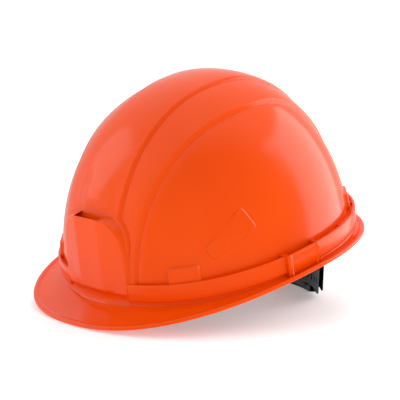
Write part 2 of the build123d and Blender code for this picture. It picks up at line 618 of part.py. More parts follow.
def nape_strap(side, inside):
    """Nape strap: rack, sloping arm and pivot eye. side is 1 for the wearer's left, -1 for the right."""
    middle = inside + STRAP_THICKNESS / 2
    reach = inside + 2 * PIVOT_EYE_RADIUS
    foot = (PIVOT_LEVEL - ARM_HALF_HEIGHT - STRAP_BOTTOM) / ARM_RISE
    shoulder = (PIVOT_LEVEL + ARM_HALF_HEIGHT - STRAP_TOP) / ARM_RISE
    ends = sorted((-side * STRAP_END, side * ARM_END))
    with BuildPart(mode=Mode.PRIVATE) as strap:
        add(nape_arc(inside, STRAP_THICKNESS, 0, PIVOT_LEVEL + PIVOT_EYE_RADIUS, *ends))
        with BuildPart(mode=Mode.PRIVATE) as outline:
            with BuildSketch(NAPE_SIDE):
                Polygon((reach, STRAP_BOTTOM), (reach, STRAP_TOP), (shoulder, STRAP_TOP),
                        (0, PIVOT_LEVEL + ARM_HALF_HEIGHT), (0, PIVOT_LEVEL - ARM_HALF_HEIGHT),
                        (foot, STRAP_BOTTOM), align=None)
                with Locations((0, PIVOT_LEVEL)):
                    Circle(PIVOT_EYE_RADIUS)
                    Circle(PIVOT_EYE_HOLE, mode=Mode.SUBTRACT)
            extrude(amount=reach, both=True)
        add(outline.part, mode=Mode.INTERSECT)
        # window with a rack along its lower edge on the left strap and its upper edge on the right one
        with BuildSketch(KNOB_PLANE.offset(inside / 2)):
            with BuildLine():
                Polyline(*rack_window(middle, side), close=True)
            make_face()
        extrude(amount=inside, mode=Mode.SUBTRACT)
        # row of small upright slots along the lower edge of the arm
        width, height = GRIP_SLOT
        for angle in GRIP_SLOT_ANGLES:
            swing = side * radians(angle)
            level = STRAP_BOTTOM + ARM_RISE * (foot - middle * cos(swing)) + GRIP_SLOT_RISE
            spoke = Plane(origin=(0, NAPE_Y, level), x_dir=(cos(swing), -sin(swing), 0),
                          z_dir=(sin(swing), cos(swing), 0))
            with BuildSketch(spoke.offset(inside / 2)):
                SlotOverall(height, width, rotation=90)
            extrude(amount=inside, mode=Mode.SUBTRACT)
    return strap.part


for name, side, inside in (("strap_left", 1, LEFT_STRAP_INSIDE), ("strap_right", -1, RIGHT_STRAP_INSIDE)):
    with BuildPart() as strap_piece:
        add(nape_strap(side, inside))
    strap_piece.part.label = name
    export_step(strap_piece.part, f"parts/{name}.step")

# ---------------------------------------------------------------- rivets that the straps hang on
def pin_seat():
    """Distance from the middle of the helmet to the inner heads, just inside the headband."""
    behind = NAPE_CENTRE_BEHIND * cos(LEAN) + (PIVOT_LEVEL - RIM_Z) * sin(LEAN) + HEAD_CENTRE_AHEAD
    along = (behind + PIN_HEAD_RADIUS) / (HEADBAND_HALF_LENGTH - HEADBAND_WALL)
    return (HEADBAND_HALF_WIDTH - HEADBAND_WALL) * (1 - along ** 2) ** 0.5 - PIN_FIT


for name, side in (("swivel_pin_left", 1), ("swivel_pin_right", -1)):
    strap_outside = (LEFT_STRAP_INSIDE if side > 0 else RIGHT_STRAP_INSIDE) + STRAP_THICKNESS
    shank_start = pin_seat()
    shank_end = strap_outside + STRAP_GAP
    with BuildPart() as swivel_pin:
        with BuildSketch(Plane(origin=PIVOT, x_dir=(0, 1, 0), z_dir=(side, 0, 0)).offset(shank_start)):
            Circle(PIN_RADIUS)
        extrude(amount=shank_end - shank_start)
        with BuildSketch(Plane(origin=PIVOT, x_dir=(0, 1, 0), z_dir=(side, 0, 0)).offset(shank_end)):
            Circle(PIN_HEAD_RADIUS)
        extrude(amount=PIN_HEAD)
        with BuildSketch(Plane(origin=PIVOT, x_dir=(0, 1, 0), z_dir=(side, 0, 0)).offset(shank_start)):
            Circle(PIN_HEAD_RADIUS)
        extrude(amount=-PIN_HEAD)
        fillet(swivel_pin.edges().filter_by(GeomType.CIRCLE).group_by(Axis.X)[-1 if side > 0 else 0],
               PIN_HEAD_EDGE)
    swivel_pin.part.label = name
    export_step(swivel_pin.part, f"parts/{name}.step")

# ---------------------------------------------------------------- adjuster
with BuildPart() as adjuster_back:
    add(nape_arc(BACK_INSIDE, BACK_THICKNESS, 0, ADJUSTER_TOP, -BACK_REACH, BACK_REACH))
    with BuildSketch(KNOB_PLANE.offset(BACK_INSIDE / 2)):
        Circle(PILOT_RADIUS + SHAFT_FIT)
    extrude(amount=BACK_INSIDE, mode=Mode.SUBTRACT)
    corners = adjuster_back.edges().filter_by(GeomType.LINE).filter_by(Axis.Z, reverse=True)
    fillet(corners, ADJUSTER_CORNER)
adjuster_back.part.label = "adjuster_back"
export_step(adjuster_back.part, "parts/adjuster_back.step")

with BuildPart() as adjuster_cover:
    add(nape_arc(COVER_INSIDE, COVER_THICKNESS, COVER_WING_BOTTOM, COVER_WING_TOP, -COVER_WING_REACH,
                 COVER_WING_REACH))
    add(nape_arc(COVER_INSIDE, COVER_THICKNESS, 0, ADJUSTER_TOP, -COVER_REACH, COVER_REACH))
    # floor and roof that join the cover to the back
    layer_depth = COVER_INSIDE - BACK_INSIDE - BACK_THICKNESS
    for bottom in (0, ADJUSTER_TOP - ADJUSTER_WALL):
        add(nape_arc(BACK_INSIDE + BACK_THICKNESS, layer_depth, bottom, bottom + ADJUSTER_WALL,
                     -COVER_REACH, COVER_REACH))
    # flat round boss behind the knob, with the click ring standing on it
    with BuildSketch(KNOB_PLANE.offset(COVER_INSIDE)):
        Circle(CLICK_RING_RADIUS + CLICK_RING_WALL + BOSS_MARGIN)
    extrude(amount=COVER_THICKNESS + BOSS_STEP)
    with BuildSketch(KNOB_PLANE.offset(BOSS_FACE)):
        Circle(CLICK_RING_RADIUS + CLICK_RING_WALL)
        Circle(CLICK_RING_RADIUS, mode=Mode.SUBTRACT)
        with PolarLocations(CLICK_RING_RADIUS, CLICK_TEETH):
            Rectangle(CLICK_NOTCH, CLICK_NOTCH, rotation=45, mode=Mode.SUBTRACT)
    extrude(amount=CLICK_RING_HEIGHT)
    with BuildSketch(KNOB_PLANE.offset(COVER_INSIDE / 2)):
        Circle(SHAFT_RADIUS + SHAFT_FIT)
    extrude(amount=COVER_INSIDE, mode=Mode.SUBTRACT)
    # the boss doesn't reach into the space of the racks
    add(nape_arc(BACK_INSIDE, COVER_INSIDE - BACK_INSIDE, ADJUSTER_WALL, ADJUSTER_TOP - ADJUSTER_WALL,
                 -COVER_WING_REACH, COVER_WING_REACH), mode=Mode.SUBTRACT)
adjuster_cover.part.label = "adjuster_cover"
export_step(adjuster_cover.part, "parts/adjuster_cover.step")

with BuildPart() as pinion:
    gear_start = LEFT_STRAP_INSIDE - STRAP_GAP / 2
    gear_depth = COVER_INSIDE - STRAP_GAP - gear_start
    with BuildSketch(KNOB_PLANE.offset(gear_start)):
        Circle(ROOT_RADIUS)
        with PolarLocations(0, PINION_TEETH, start_angle=90):
            Polygon((0, -PINION_TOOTH_ROOT / 2), (ROOT_RADIUS, -PINION_TOOTH_ROOT / 2),
                    (TIP_RADIUS, -TOOTH_TIP / 2), (TIP_RADIUS, TOOTH_TIP / 2),
                    (ROOT_RADIUS, PINION_TOOTH_ROOT / 2), (0, PINION_TOOTH_ROOT / 2), align=None)
    extrude(amount=gear_depth)
    with BuildSketch(KNOB_PLANE.offset(gear_start + gear_depth)):
        Circle(SHAFT_RADIUS)
    extrude(amount=KNOB_FACE - KNOB_WALL - SCREW_HEAD - gear_start - gear_depth)
    with BuildSketch(KNOB_PLANE.offset(BACK_INSIDE + STRAP_GAP)):
        Circle(PILOT_RADIUS)
    extrude(amount=gear_start - BACK_INSIDE - STRAP_GAP)
    with BuildSketch(KNOB_PLANE.offset(KNOB_FACE)):
        Circle(SCREW_RADIUS + SCREW_FIT)
    extrude(amount=-SCREW_LENGTH - 2 * SCREW_HEAD, mode=Mode.SUBTRACT)
pinion.part.label = "pinion"
export_step(pinion.part, "parts/pinion.step")

with BuildPart() as knob:
    with BuildSketch(KNOB_PLANE.offset(KNOB_BACK)):
        Circle(KNOB_RADIUS)
        with PolarLocations(KNOB_RADIUS + KNOB_SCALLOP_RADIUS - KNOB_SCALLOP_DEPTH, KNOB_SCALLOPS):
            Circle(KNOB_SCALLOP_RADIUS, mode=Mode.SUBTRACT)
    extrude(amount=KNOB_DEPTH)
    fillet(knob.faces().sort_by(Axis.Y)[-1].edges(), KNOB_EDGE)
    with BuildSketch(KNOB_PLANE.offset(KNOB_BACK)):
        Circle(KNOB_RADIUS - KNOB_WALL)
        Circle(KNOB_HUB_RADIUS, mode=Mode.SUBTRACT)
    extrude(amount=KNOB_DEPTH - KNOB_WALL, mode=Mode.SUBTRACT)
    with BuildSketch(KNOB_PLANE.offset(KNOB_BACK)):
        Circle(SHAFT_RADIUS + KNOB_FIT)
    extrude(amount=KNOB_DEPTH - KNOB_WALL - SCREW_HEAD, mode=Mode.SUBTRACT)
    with BuildSketch(KNOB_PLANE.offset(KNOB_FACE)):
        Circle(SCREW_HEAD_RADIUS + KNOB_FIT)
    extrude(amount=-SCREW_HEAD, mode=Mode.SUBTRACT)
    with BuildSketch(KNOB_PLANE.offset(KNOB_FACE)):
        Circle(SCREW_RADIUS + SCREW_FIT)
    extrude(amount=-KNOB_DEPTH, mode=Mode.SUBTRACT)
knob.part.label = "knob"
export_step(knob.part, "parts/knob.step")

with BuildPart() as knob_screw:
    with BuildSketch(KNOB_PLANE.offset(KNOB_FACE)):
        Circle(SCREW_HEAD_RADIUS)
    extrude(amount=-SCREW_HEAD)
    with BuildSketch(KNOB_PLANE.offset(KNOB_FACE)):
        Circle(SCREW_RADIUS)
    extrude(amount=-SCREW_HEAD - SCREW_LENGTH)
    with BuildSketch(KNOB_PLANE.offset(KNOB_FACE)):
        arm_length, arm_width = SCREW_RECESS
        Rectangle(arm_length, arm_width)
        Rectangle(arm_width, arm_length)
    extrude(amount=-SCREW_HEAD / 2, mode=Mode.SUBTRACT)
knob_screw.part.label = "knob_screw"
export_step(knob_screw.part, "parts/knob_screw.step")

with BuildPart() as pawl_spring:
    tip_reach = CLICK_RING_RADIUS - PAWL_CLEARANCE - PAWL_TIP_RADIUS
    with BuildSketch(KNOB_PLANE.offset(KNOB_BACK + KNOB_GAP)):
        Circle(KNOB_HUB_RADIUS + KNOB_FIT + PAWL_ARM_WIDTH)
        for start in (0, 180):
            with BuildLine():
                CenterArc((0, 0), PAWL_ARM_RADIUS, start, PAWL_ARM_SWEEP)
            trace(line_width=PAWL_ARM_WIDTH)
            with PolarLocations((KNOB_HUB_RADIUS + PAWL_ARM_RADIUS) / 2, 1, start_angle=start):
                Rectangle(PAWL_ARM_RADIUS - KNOB_HUB_RADIUS, 2 * PAWL_ARM_WIDTH)
            with PolarLocations(tip_reach, 1, start_angle=start + PAWL_ARM_SWEEP):
                Circle(PAWL_TIP_RADIUS)
        Circle(KNOB_HUB_RADIUS + KNOB_FIT, mode=Mode.SUBTRACT)
    extrude(amount=PAWL_THICKNESS)
pawl_spring.part.label = "pawl_spring"
export_step(pawl_spring.part, "parts/pawl_spring.step")

with BuildPart() as nape_pad:
    add(nape_arc(BACK_INSIDE - SOFT_CLEARANCE - NAPE_PAD_THICKNESS, NAPE_PAD_THICKNESS, STRAP_BOTTOM,
                 ADJUSTER_TOP - STRAP_BOTTOM, -NAPE_PAD_REACH, NAPE_PAD_REACH))
    corners = nape_pad.edges().filter_by(GeomType.LINE).filter_by(Axis.Z, reverse=True)
    fillet(corners, NAPE_PAD_CORNER)
nape_pad.part.label = "nape_pad"
export_step(nape_pad.part, "parts/nape_pad.step")
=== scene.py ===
"""An orange industrial safety helmet standing nose down on a pale table.

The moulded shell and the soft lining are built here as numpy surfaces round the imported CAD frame. The
black suspension, the nape adjuster and its screw keep their CAD shapes and get their finishes here.
Sizes in the classes are millimetres in the helmet's own frame: x to the wearer's left, y to the rear and z
up from the rim plane, which leans with the helmet.
"""
import logging
import math
from dataclasses import dataclass
from enum import Enum

import bmesh
import bpy
import numpy as np
from mathutils import Matrix, Vector


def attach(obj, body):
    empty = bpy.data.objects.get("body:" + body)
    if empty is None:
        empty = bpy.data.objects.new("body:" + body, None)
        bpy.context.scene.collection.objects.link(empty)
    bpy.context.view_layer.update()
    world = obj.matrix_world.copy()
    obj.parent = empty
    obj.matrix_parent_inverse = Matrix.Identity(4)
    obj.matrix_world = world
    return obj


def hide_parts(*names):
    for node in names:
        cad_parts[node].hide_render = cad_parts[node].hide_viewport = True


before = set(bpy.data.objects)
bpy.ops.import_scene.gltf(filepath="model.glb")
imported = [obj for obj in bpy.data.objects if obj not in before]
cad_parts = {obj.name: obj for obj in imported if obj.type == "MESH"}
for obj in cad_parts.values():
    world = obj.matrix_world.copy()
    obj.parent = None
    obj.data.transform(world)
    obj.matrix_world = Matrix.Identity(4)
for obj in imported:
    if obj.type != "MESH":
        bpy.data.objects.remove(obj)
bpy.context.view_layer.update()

LOG = logging.getLogger("helmet")
MM = 0.001


# ------------------------------------------------------------------------------------------ stance
@dataclass(frozen=True)
class Stance:
    """How the helmet stands: nose down, on the tip of its brim and the foot of the nape adjuster.

    Both ends of the brim are given by their distance from the centre and their droop below the rim plane.
    """

    lean: float = math.radians(13.35)
    brim_front: float = 161.0
    brim_rear: float = 120.5
    brim_droop: float = 6.3
    brim_rear_droop: float = 4.8
    brim_thickness: float = 2.4
    nape_behind: float = 5.0

    @property
    def origin(self) -> np.ndarray:
        """Centre of the rim plane above the table, in millimetres."""
        cos, sin = math.cos(self.lean), math.sin(self.lean)
        front = -self.brim_front * cos + (self.brim_droop - self.brim_thickness) * sin
        rear = self.brim_rear * cos + self.brim_rear_droop * sin
        return np.array([0.0, -(front + rear) / 2, self.brim_front * sin + self.brim_droop * cos])

    @property
    def nape_y(self) -> float:
        """Distance of the upright nape axis behind the middle of the object, in millimetres."""
        return float(self.origin[1]) + self.nape_behind

    def place(self, points: np.ndarray) -> np.ndarray:
        """Turn points of the helmet's own frame by the lean about x, lift them to the rim and give metres.

        Args:
            points: array (..., 3) in millimetres.

        Returns:
            The same points in metres, in the frame of the CAD.
        """
        cos, sin = math.cos(self.lean), math.sin(self.lean)
        x, y, z = np.moveaxis(np.asarray(points, float), -1, 0)
        turned = np.stack([x, y * cos - z * sin, y * sin + z * cos], axis=-1)
        return (turned + self.origin) * MM


STANCE = Stance()


def ray(angle: float) -> tuple[np.ndarray, np.ndarray, np.ndarray]:
    """Unit vectors out along a ray, along the wall it meets, and up, for degrees round from the front."""
    a = math.radians(angle)
    return (np.array([math.sin(a), -math.cos(a), 0.0]), np.array([math.cos(a), math.sin(a), 0.0]),
            np.array([0.0, 0.0, 1.0]))


# ------------------------------------------------------------------------------------ mesh helpers
def solid_mesh(name: str, points: np.ndarray, faces: np.ndarray) -> bpy.types.Object:
    """Make a smooth-shaded object of quads whose doubled points are merged and whose faces point out.

    Args:
        name: name of the piece.
        points: array (n, 3) in metres.
        faces: array (m, 4) of point numbers.

    Returns:
        The object, at the origin and linked to the scene.
    """
    mesh = bpy.data.meshes.new(name)
    mesh.vertices.add(len(points))
    mesh.vertices.foreach_set("co", np.ascontiguousarray(points, np.float32).ravel())
    mesh.loops.add(faces.size)
    mesh.loops.foreach_set("vertex_index", np.ascontiguousarray(faces, np.int32).ravel())
    mesh.polygons.add(len(faces))
    mesh.polygons.foreach_set("loop_start", np.arange(0, faces.size, 4, dtype=np.int32))
    mesh.update(calc_edges=True)
    sheet = bmesh.new()
    sheet.from_mesh(mesh)
    bmesh.ops.remove_doubles(sheet, verts=sheet.verts, dist=2e-6)
    bmesh.ops.dissolve_degenerate(sheet, edges=sheet.edges, dist=1e-6)
    bmesh.ops.recalc_face_normals(sheet, faces=sheet.faces)
    sheet.to_mesh(mesh)
    sheet.free()
    mesh.polygons.foreach_set("use_smooth", np.ones(len(mesh.polygons), bool))
    mesh.update()
    piece = bpy.data.objects.new(name, mesh)
    bpy.context.scene.collection.objects.link(piece)
    return piece


def grid_faces(rows: int, columns: int, start: int = 0, around: bool = False) -> np.ndarray:
    """Quads of a grid of points laid out row by row.

    Args:
        rows, columns: size of the grid.
        start: number of the grid's first point.
        around: whether the last column is joined to the first.

    Returns:
        Array (quads, 4) of point numbers.
    """
    wide = columns if around else columns - 1
    r, c = np.meshgrid(np.arange(rows - 1), np.arange(wide), indexing="ij")
    n = (c + 1) % columns
    corner = np.stack([r * columns + c, r * columns + n, (r + 1) * columns + n, (r + 1) * columns + c], -1)
    return corner.reshape(-1, 4) + start


def loft(name: str, rings: np.ndarray) -> bpy.types.Object:
    """Closed solid through rings of points; the first and last rings are drawn in to their middles.

    Args:
        name: name of the piece.
        rings: array (rings, points, 3) in metres.

    Returns:
        The object.
    """
    ends = [np.broadcast_to(ring.mean(axis=0), ring.shape) for ring in (rings[0], rings[-1])]
    stack = np.concatenate([ends[0][None], rings, ends[1][None]])
    return solid_mesh(name, stack.reshape(-1, 3), grid_faces(stack.shape[0], stack.shape[1], around=True))


def slab(name: str, outer: np.ndarray, inner: np.ndarray) -> bpy.types.Object:
    """Closed wall between two grids of the same size, joined round their four edges.

    Args:
        name: name of the piece.
        outer, inner: arrays (rows, columns, 3) in metres.

    Returns:
        The object.
    """
    rows, columns = outer.shape[:2]
    number = np.arange(rows * columns).reshape(rows, columns)
    edge = np.concatenate([number[0, :-1], number[:-1, -1], number[-1, :0:-1], number[:0:-1, 0]])
    after = np.roll(edge, -1)
    below = rows * columns
    rim = np.stack([edge, after, after + below, edge + below], -1)
    faces = np.concatenate([grid_faces(rows, columns), grid_faces(rows, columns, below), rim])
    return solid_mesh(name, np.concatenate([outer.reshape(-1, 3), inner.reshape(-1, 3)]), faces)


def swept(name: str, sections: np.ndarray) -> bpy.types.Object:
    """Closed ring: a closed outline carried all the way round.

    Args:
        name: name of the piece.
        sections: array (turns, points, 3) in metres.

    Returns:
        The object.
    """
    turns, points = sections.shape[:2]
    looped = np.concatenate([sections, sections[:1]])
    return solid_mesh(name, looped.reshape(-1, 3), grid_faces(turns + 1, points, around=True))


def places(mesh: bpy.types.Mesh) -> np.ndarray:
    """Places of the mesh's vertices, as an array (n, 3) in metres."""
    points = np.empty(len(mesh.vertices) * 3, np.float32)
    mesh.vertices.foreach_get("co", points)
    return points.reshape(-1, 3)


def lay_weave(mesh: bpy.types.Mesh, across: np.ndarray, along: np.ndarray) -> None:
    """Give the mesh a UV map in metres from each vertex's place across and along the cloth."""
    loops = np.empty(len(mesh.loops), np.int32)
    mesh.loops.foreach_get("vertex_index", loops)
    uv = np.stack([across, along], -1)[loops]
    mesh.uv_layers.new(name="weave").data.foreach_set("uv", uv.astype(np.float32).ravel())


def softened(x: np.ndarray, radius: float) -> np.ndarray:
    """Ramp that is 0 below -radius and x above +radius, with a parabola between."""
    return np.where(x < -radius, 0.0, np.where(x > radius, x, (x + radius) ** 2 / (4 * radius)))


def bevel(x: np.ndarray, width: float, top: float, foot: float) -> np.ndarray:
    """Step from 1 down to 0 along a straight bevel with both its ends rounded.

    Args:
        x: distances beyond the bevel's upper edge.
        width: how far the bevel runs.
        top, foot: radii over which its upper and lower ends are rounded.

    Returns:
        The step's height at each distance.
    """
    return 1 - (softened(x, top) - softened(x - width, foot)) / width


def rounded_outline(corners: np.ndarray, radius: float, count: int) -> np.ndarray:
    """Evenly numbered points round a polygon whose corners are rounded by a parabola.

    Each corner takes an equal share of the points: it runs along the quadratic curve whose ends lie a
    radius along the two sides and whose handle is the corner.

    Args:
        corners: array (n, 2) of the polygon.
        radius: how far along each side the rounding starts.
        count: points at each corner.

    Returns:
        Array (n * count, 2).
    """
    before, after = np.roll(corners, 1, axis=0) - corners, np.roll(corners, -1, axis=0) - corners
    start = corners + before * (radius / np.linalg.norm(before, axis=1))[:, None]
    end = corners + after * (radius / np.linalg.norm(after, axis=1))[:, None]
    t = np.linspace(0, 1, count)[None, :, None]
    curve = (1 - t) ** 2 * start[:, None] + 2 * t * (1 - t) * corners[:, None] + t ** 2 * end[:, None]
    return curve.reshape(-1, 2)


# --------------------------------------------------------------------------------- material helpers
def linear(colour: str) -> tuple[float, float, float, float]:
    """Turn an sRGB hex colour into the linear colour that Blender's sockets take."""
    parts = np.array([int(colour[k:k + 2], 16) for k in (1, 3, 5)]) / 255
    parts = np.where(parts <= 0.04045, parts / 12.92, ((parts + 0.055) / 1.055) ** 2.4)
    return (*parts.tolist(), 1.0)


def add(tree: bpy.types.NodeTree, kind: str, settings: dict | None = None, **links) -> bpy.types.Node:
    """Add a node, set its properties, and link or set its sockets.

    Args:
        tree: node tree of the material.
        kind: Blender's name of the node, without its ShaderNode start.
        settings: properties of the node, and value_N for its input number N.
        links: input socket names, with underscores for spaces, or nN for input number N, to a source
            socket or a value.

    Returns:
        The node.
    """
    node = tree.nodes.new("ShaderNode" + kind)
    for key, value in (settings or {}).items():
        if key.startswith("value_"):
            node.inputs[int(key[6:])].default_value = value
        else:
            setattr(node, key, value)
    for key, source in links.items():
        socket = node.inputs[int(key[1:]) if key[0] == "n" and key[1:].isdigit() else key.replace("_", " ")]
        if isinstance(source, bpy.types.NodeSocket):
            tree.links.new(source, socket)
        else:
            socket.default_value = source
    return node


def blank(name: str) -> tuple[bpy.types.Material, bpy.types.NodeTree]:
    """Make an empty node material of a name and give it with its tree."""
    material = bpy.data.materials.new(name)
    material.use_nodes = True
    material.node_tree.nodes.clear()
    return material, material.node_tree


def surface(tree: bpy.types.NodeTree, shader: bpy.types.Node) -> None:
    """Put a shader on the surface."""
    tree.links.new(shader.outputs["BSDF"], add(tree, "OutputMaterial").inputs["Surface"])


def colours(node: bpy.types.Node, stops: dict[float, str]) -> None:
    """Set a Color Ramp's stops from places to hex colours."""
    ramp = node.color_ramp
    while len(ramp.elements) < len(stops):
        ramp.elements.new(0.5)
    for element, (place, colour) in zip(ramp.elements, sorted(stops.items())):
        element.position, element.color = place, linear(colour)


# ----------------------------------------------------------------------------------------- finishes
@dataclass(frozen=True)
class MouldedPlastic:
    """Injection-moulded thermoplastic: a smooth skin with faint flow unevenness and fine handling marks.

    The mould's skin gives broad clean reflections; the melt's flow shows as a slow drift of the colour and
    as a slight waviness of the gloss, and a fine grain or orange peel breaks up the highlight. The real grain
    is about 0.1 mm; it is drawn 4 to 12 times as coarse, which is as coarse as it needs to show.
    """

    name: str
    colour: str
    shade: str
    roughness: float
    ior: float
    drift_mm: float = 60.0  # patches of melt that cooled at a different rate
    grain_mm: float = 0.9  # orange peel of the mould's skin
    grain_depth_mm: float = 0.01
    wave_mm: float = 14.0  # sink and warp of a thin moulded wall
    wave_depth_mm: float = 0.02
    translucency: float = 0.0
    glow: str = "#FF5010"  # light that travels furthest inside the plastic
    glow_reach_mm: float = 4.0
    gloss: float = 0.5  # specular level; 0.5 is that of the IOR alone
    grain_gloss: tuple[float, float] = (0.85, 1.2)  # shares of the roughness in the grain's hollows and tops

    def material(self) -> bpy.types.Material:
        """Build the material."""
        material, tree = blank(self.name)
        place = add(tree, "TexCoord").outputs["Object"]
        drift = add(tree, "TexNoise", Vector=place, Scale=1 / (self.drift_mm * MM), Detail=3.0, Roughness=0.5)
        tint = add(tree, "ValToRGB", Fac=drift.outputs["Fac"])
        colours(tint, {0.3: self.shade, 0.62: self.colour})
        wave = add(tree, "TexNoise", Vector=place, Scale=1 / (self.wave_mm * MM), Detail=1.0, Roughness=0.4)
        grain = add(tree, "TexNoise", Vector=place, Scale=1 / (self.grain_mm * MM), Detail=2.0, Roughness=0.6)
        smooth, rough = (share * self.roughness for share in self.grain_gloss)
        gloss = add(tree, "MapRange", {"value_1": 0.25, "value_2": 0.75, "value_3": smooth, "value_4": rough},
                    Value=grain.outputs["Fac"])
        rise = add(tree, "Bump", {"value_1": self.wave_depth_mm * MM}, Height=wave.outputs["Fac"], Strength=1.0)
        skin = add(tree, "Bump", {"value_1": self.grain_depth_mm * MM}, Height=grain.outputs["Fac"],
                   Strength=1.0, Normal=rise.outputs["Normal"])
        shader = add(tree, "BsdfPrincipled", Base_Color=tint.outputs["Color"], Roughness=gloss.outputs["Result"],
                     Normal=skin.outputs["Normal"], IOR=self.ior, Specular_IOR_Level=self.gloss)
        if self.translucency:
            shader.inputs["Subsurface Weight"].default_value = self.translucency
            shader.inputs["Subsurface Radius"].default_value = linear(self.glow)[:3]
            shader.inputs["Subsurface Scale"].default_value = self.glow_reach_mm * MM
        surface(tree, shader)
        return material


@dataclass(frozen=True)
class WovenPolyester:
    """Woven polyester webbing or lining: warp and weft ribs on the piece's own UV map, in metres.

    The crossing threads give a fine check, whose hollows are painted darker as painted shade on the one yarn
    colour; the loose fibre ends give a faint sheen.
    Real threads lie 0.5 mm apart; they are drawn at about twice that, so that the weave shows.
    """

    name: str
    thread: str
    # painted shade: colour painted into the hollows between the threads, darker than the yarn
    gap: str
    warp_mm: float = 1.1
    weft_mm: float = 0.9
    depth_mm: float = 0.18
    fuzz_mm: float = 0.5  # tufts of loose fibre ends
    fuzz_share: float = 0.35
    roughness: float = 0.85
    sheen: float = 0.3

    def material(self) -> bpy.types.Material:
        """Build the material: two sine ribs a quarter turn apart, and the higher of the two shows."""
        material, tree = blank(self.name)
        place = add(tree, "UVMap").outputs["UV"]
        ribs = []
        for direction, spacing in (("X", self.warp_mm), ("Y", self.weft_mm)):
            # a band of the wave texture repeats every 2 pi / 20 units at scale 1
            ribs.append(add(tree, "TexWave", {"bands_direction": direction, "wave_profile": "SIN"},
                            Vector=place, Scale=math.pi / (10 * spacing * MM), Distortion=0.0))
        weave = add(tree, "Math", {"operation": "MAXIMUM"}, n0=ribs[0].outputs["Fac"], n1=ribs[1].outputs["Fac"])
        fuzz = add(tree, "TexNoise", Vector=place, Scale=1 / (self.fuzz_mm * MM), Detail=2.0)
        height = add(tree, "Math", {"operation": "MULTIPLY_ADD", "value_1": self.fuzz_share},
                     n0=fuzz.outputs["Fac"], n2=weave.outputs["Value"])
        # painted shade: the colour follows the height, from the gap colour in the hollows of weave and fuzz up to
        # the thread colour on the tops
        tint = add(tree, "ValToRGB", Fac=height.outputs["Value"])
        colours(tint, {0.25: self.gap, 1.0: self.thread})
        bump = add(tree, "Bump", {"value_1": self.depth_mm * MM}, Height=height.outputs["Value"], Strength=1.0)
        shader = add(tree, "BsdfPrincipled", Base_Color=tint.outputs["Color"], Normal=bump.outputs["Normal"],
                     Roughness=self.roughness, Sheen_Weight=self.sheen)
        surface(tree, shader)
        return material


@dataclass(frozen=True)
class ZincPlatedSteel:
    """Bright zinc-plated steel: a cool metal with small spangles and fine wipe marks in its gloss."""

    name: str = "zinc_plated_steel"
    colour: str = "#C9CCCE"
    shade: str = "#9EA3A8"
    spangle_mm: float = 0.8  # crystals of the zinc
    wipe_mm: float = 0.3  # marks of handling, coarser than real so that they show
    wipe_depth_mm: float = 0.01
    roughness: tuple[float, float] = (0.22, 0.42)

    def material(self) -> bpy.types.Material:
        """Build the material."""
        material, tree = blank(self.name)
        place = add(tree, "TexCoord").outputs["Object"]
        spangle = add(tree, "TexVoronoi", Vector=place, Scale=1 / (self.spangle_mm * MM))
        wipe = add(tree, "TexNoise", Vector=place, Scale=1 / (self.wipe_mm * MM), Detail=3.0)
        tint = add(tree, "ValToRGB", Fac=spangle.outputs["Color"])
        colours(tint, {0.2: self.shade, 0.8: self.colour})
        smooth, rough = self.roughness
        gloss = add(tree, "MapRange", {"value_3": smooth, "value_4": rough}, Value=wipe.outputs["Fac"])
        bump = add(tree, "Bump", {"value_1": self.wipe_depth_mm * MM}, Height=wipe.outputs["Fac"], Strength=1.0)
        shader = add(tree, "BsdfPrincipled", Base_Color=tint.outputs["Color"], Metallic=1.0,
                     Roughness=gloss.outputs["Result"], Normal=bump.outputs["Normal"])
        surface(tree, shader)
        return material


class Finish(Enum):
    """The finishes of the helmet, each a real material and how its surface was made."""

    SHELL = MouldedPlastic("moulded_hdpe_orange", "#F75002", "#F34A02", roughness=0.17, ior=1.54, gloss=0.36,
                           drift_mm=90.0, grain_mm=1.2, grain_depth_mm=0.003, wave_mm=26.0,
                           wave_depth_mm=0.03, translucency=0.12)
    HARNESS = MouldedPlastic("moulded_ldpe_black", "#0E0F10", "#08090A", roughness=0.5, ior=1.51, gloss=0.1,
                             grain_mm=0.6, grain_depth_mm=0.03, wave_depth_mm=0.03)
    ADJUSTER = MouldedPlastic("moulded_nylon_black", "#101112", "#0A0B0C", roughness=0.42, ior=1.53, gloss=0.14,
                              grain_mm=0.45, grain_depth_mm=0.02, wave_depth_mm=0.03)
    GEAR = MouldedPlastic("moulded_acetal_natural", "#E4E1D6", "#D8D4C6", roughness=0.3, ior=1.48,
                          grain_mm=0.4, translucency=0.2, glow="#FFE0C0")
    # the second colour of each woven finish is painted shade in the hollows of its weave
    WEBBING = WovenPolyester("woven_polyester_black", "#2A2B2E", "#08080A")
    LINING = WovenPolyester("knitted_polyester_charcoal", "#3C3D42", "#141416", warp_mm=0.9, weft_mm=1.4,
                            depth_mm=0.22)
    STEEL = ZincPlatedSteel()

    @property
    def built(self) -> bpy.types.Material:
        """The finish's material, built once."""
        return bpy.data.materials.get(self.value.name) or self.value.material()


def dress(piece: bpy.types.Object, finish: Finish, body: str = "helmet") -> bpy.types.Object:
    """Give a new piece its material and the body it rides on.

    Args:
        piece: the new piece.
        finish: its finish.
        body: the CAD body.

    Returns:
        The piece.
    """
    piece.data.materials.clear()
    piece.data.materials.append(finish.built)
    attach(piece, body)
    LOG.info("%s rides on %s: %d faces, %s", piece.name, body, len(piece.data.polygons), finish.value.name)
    return piece


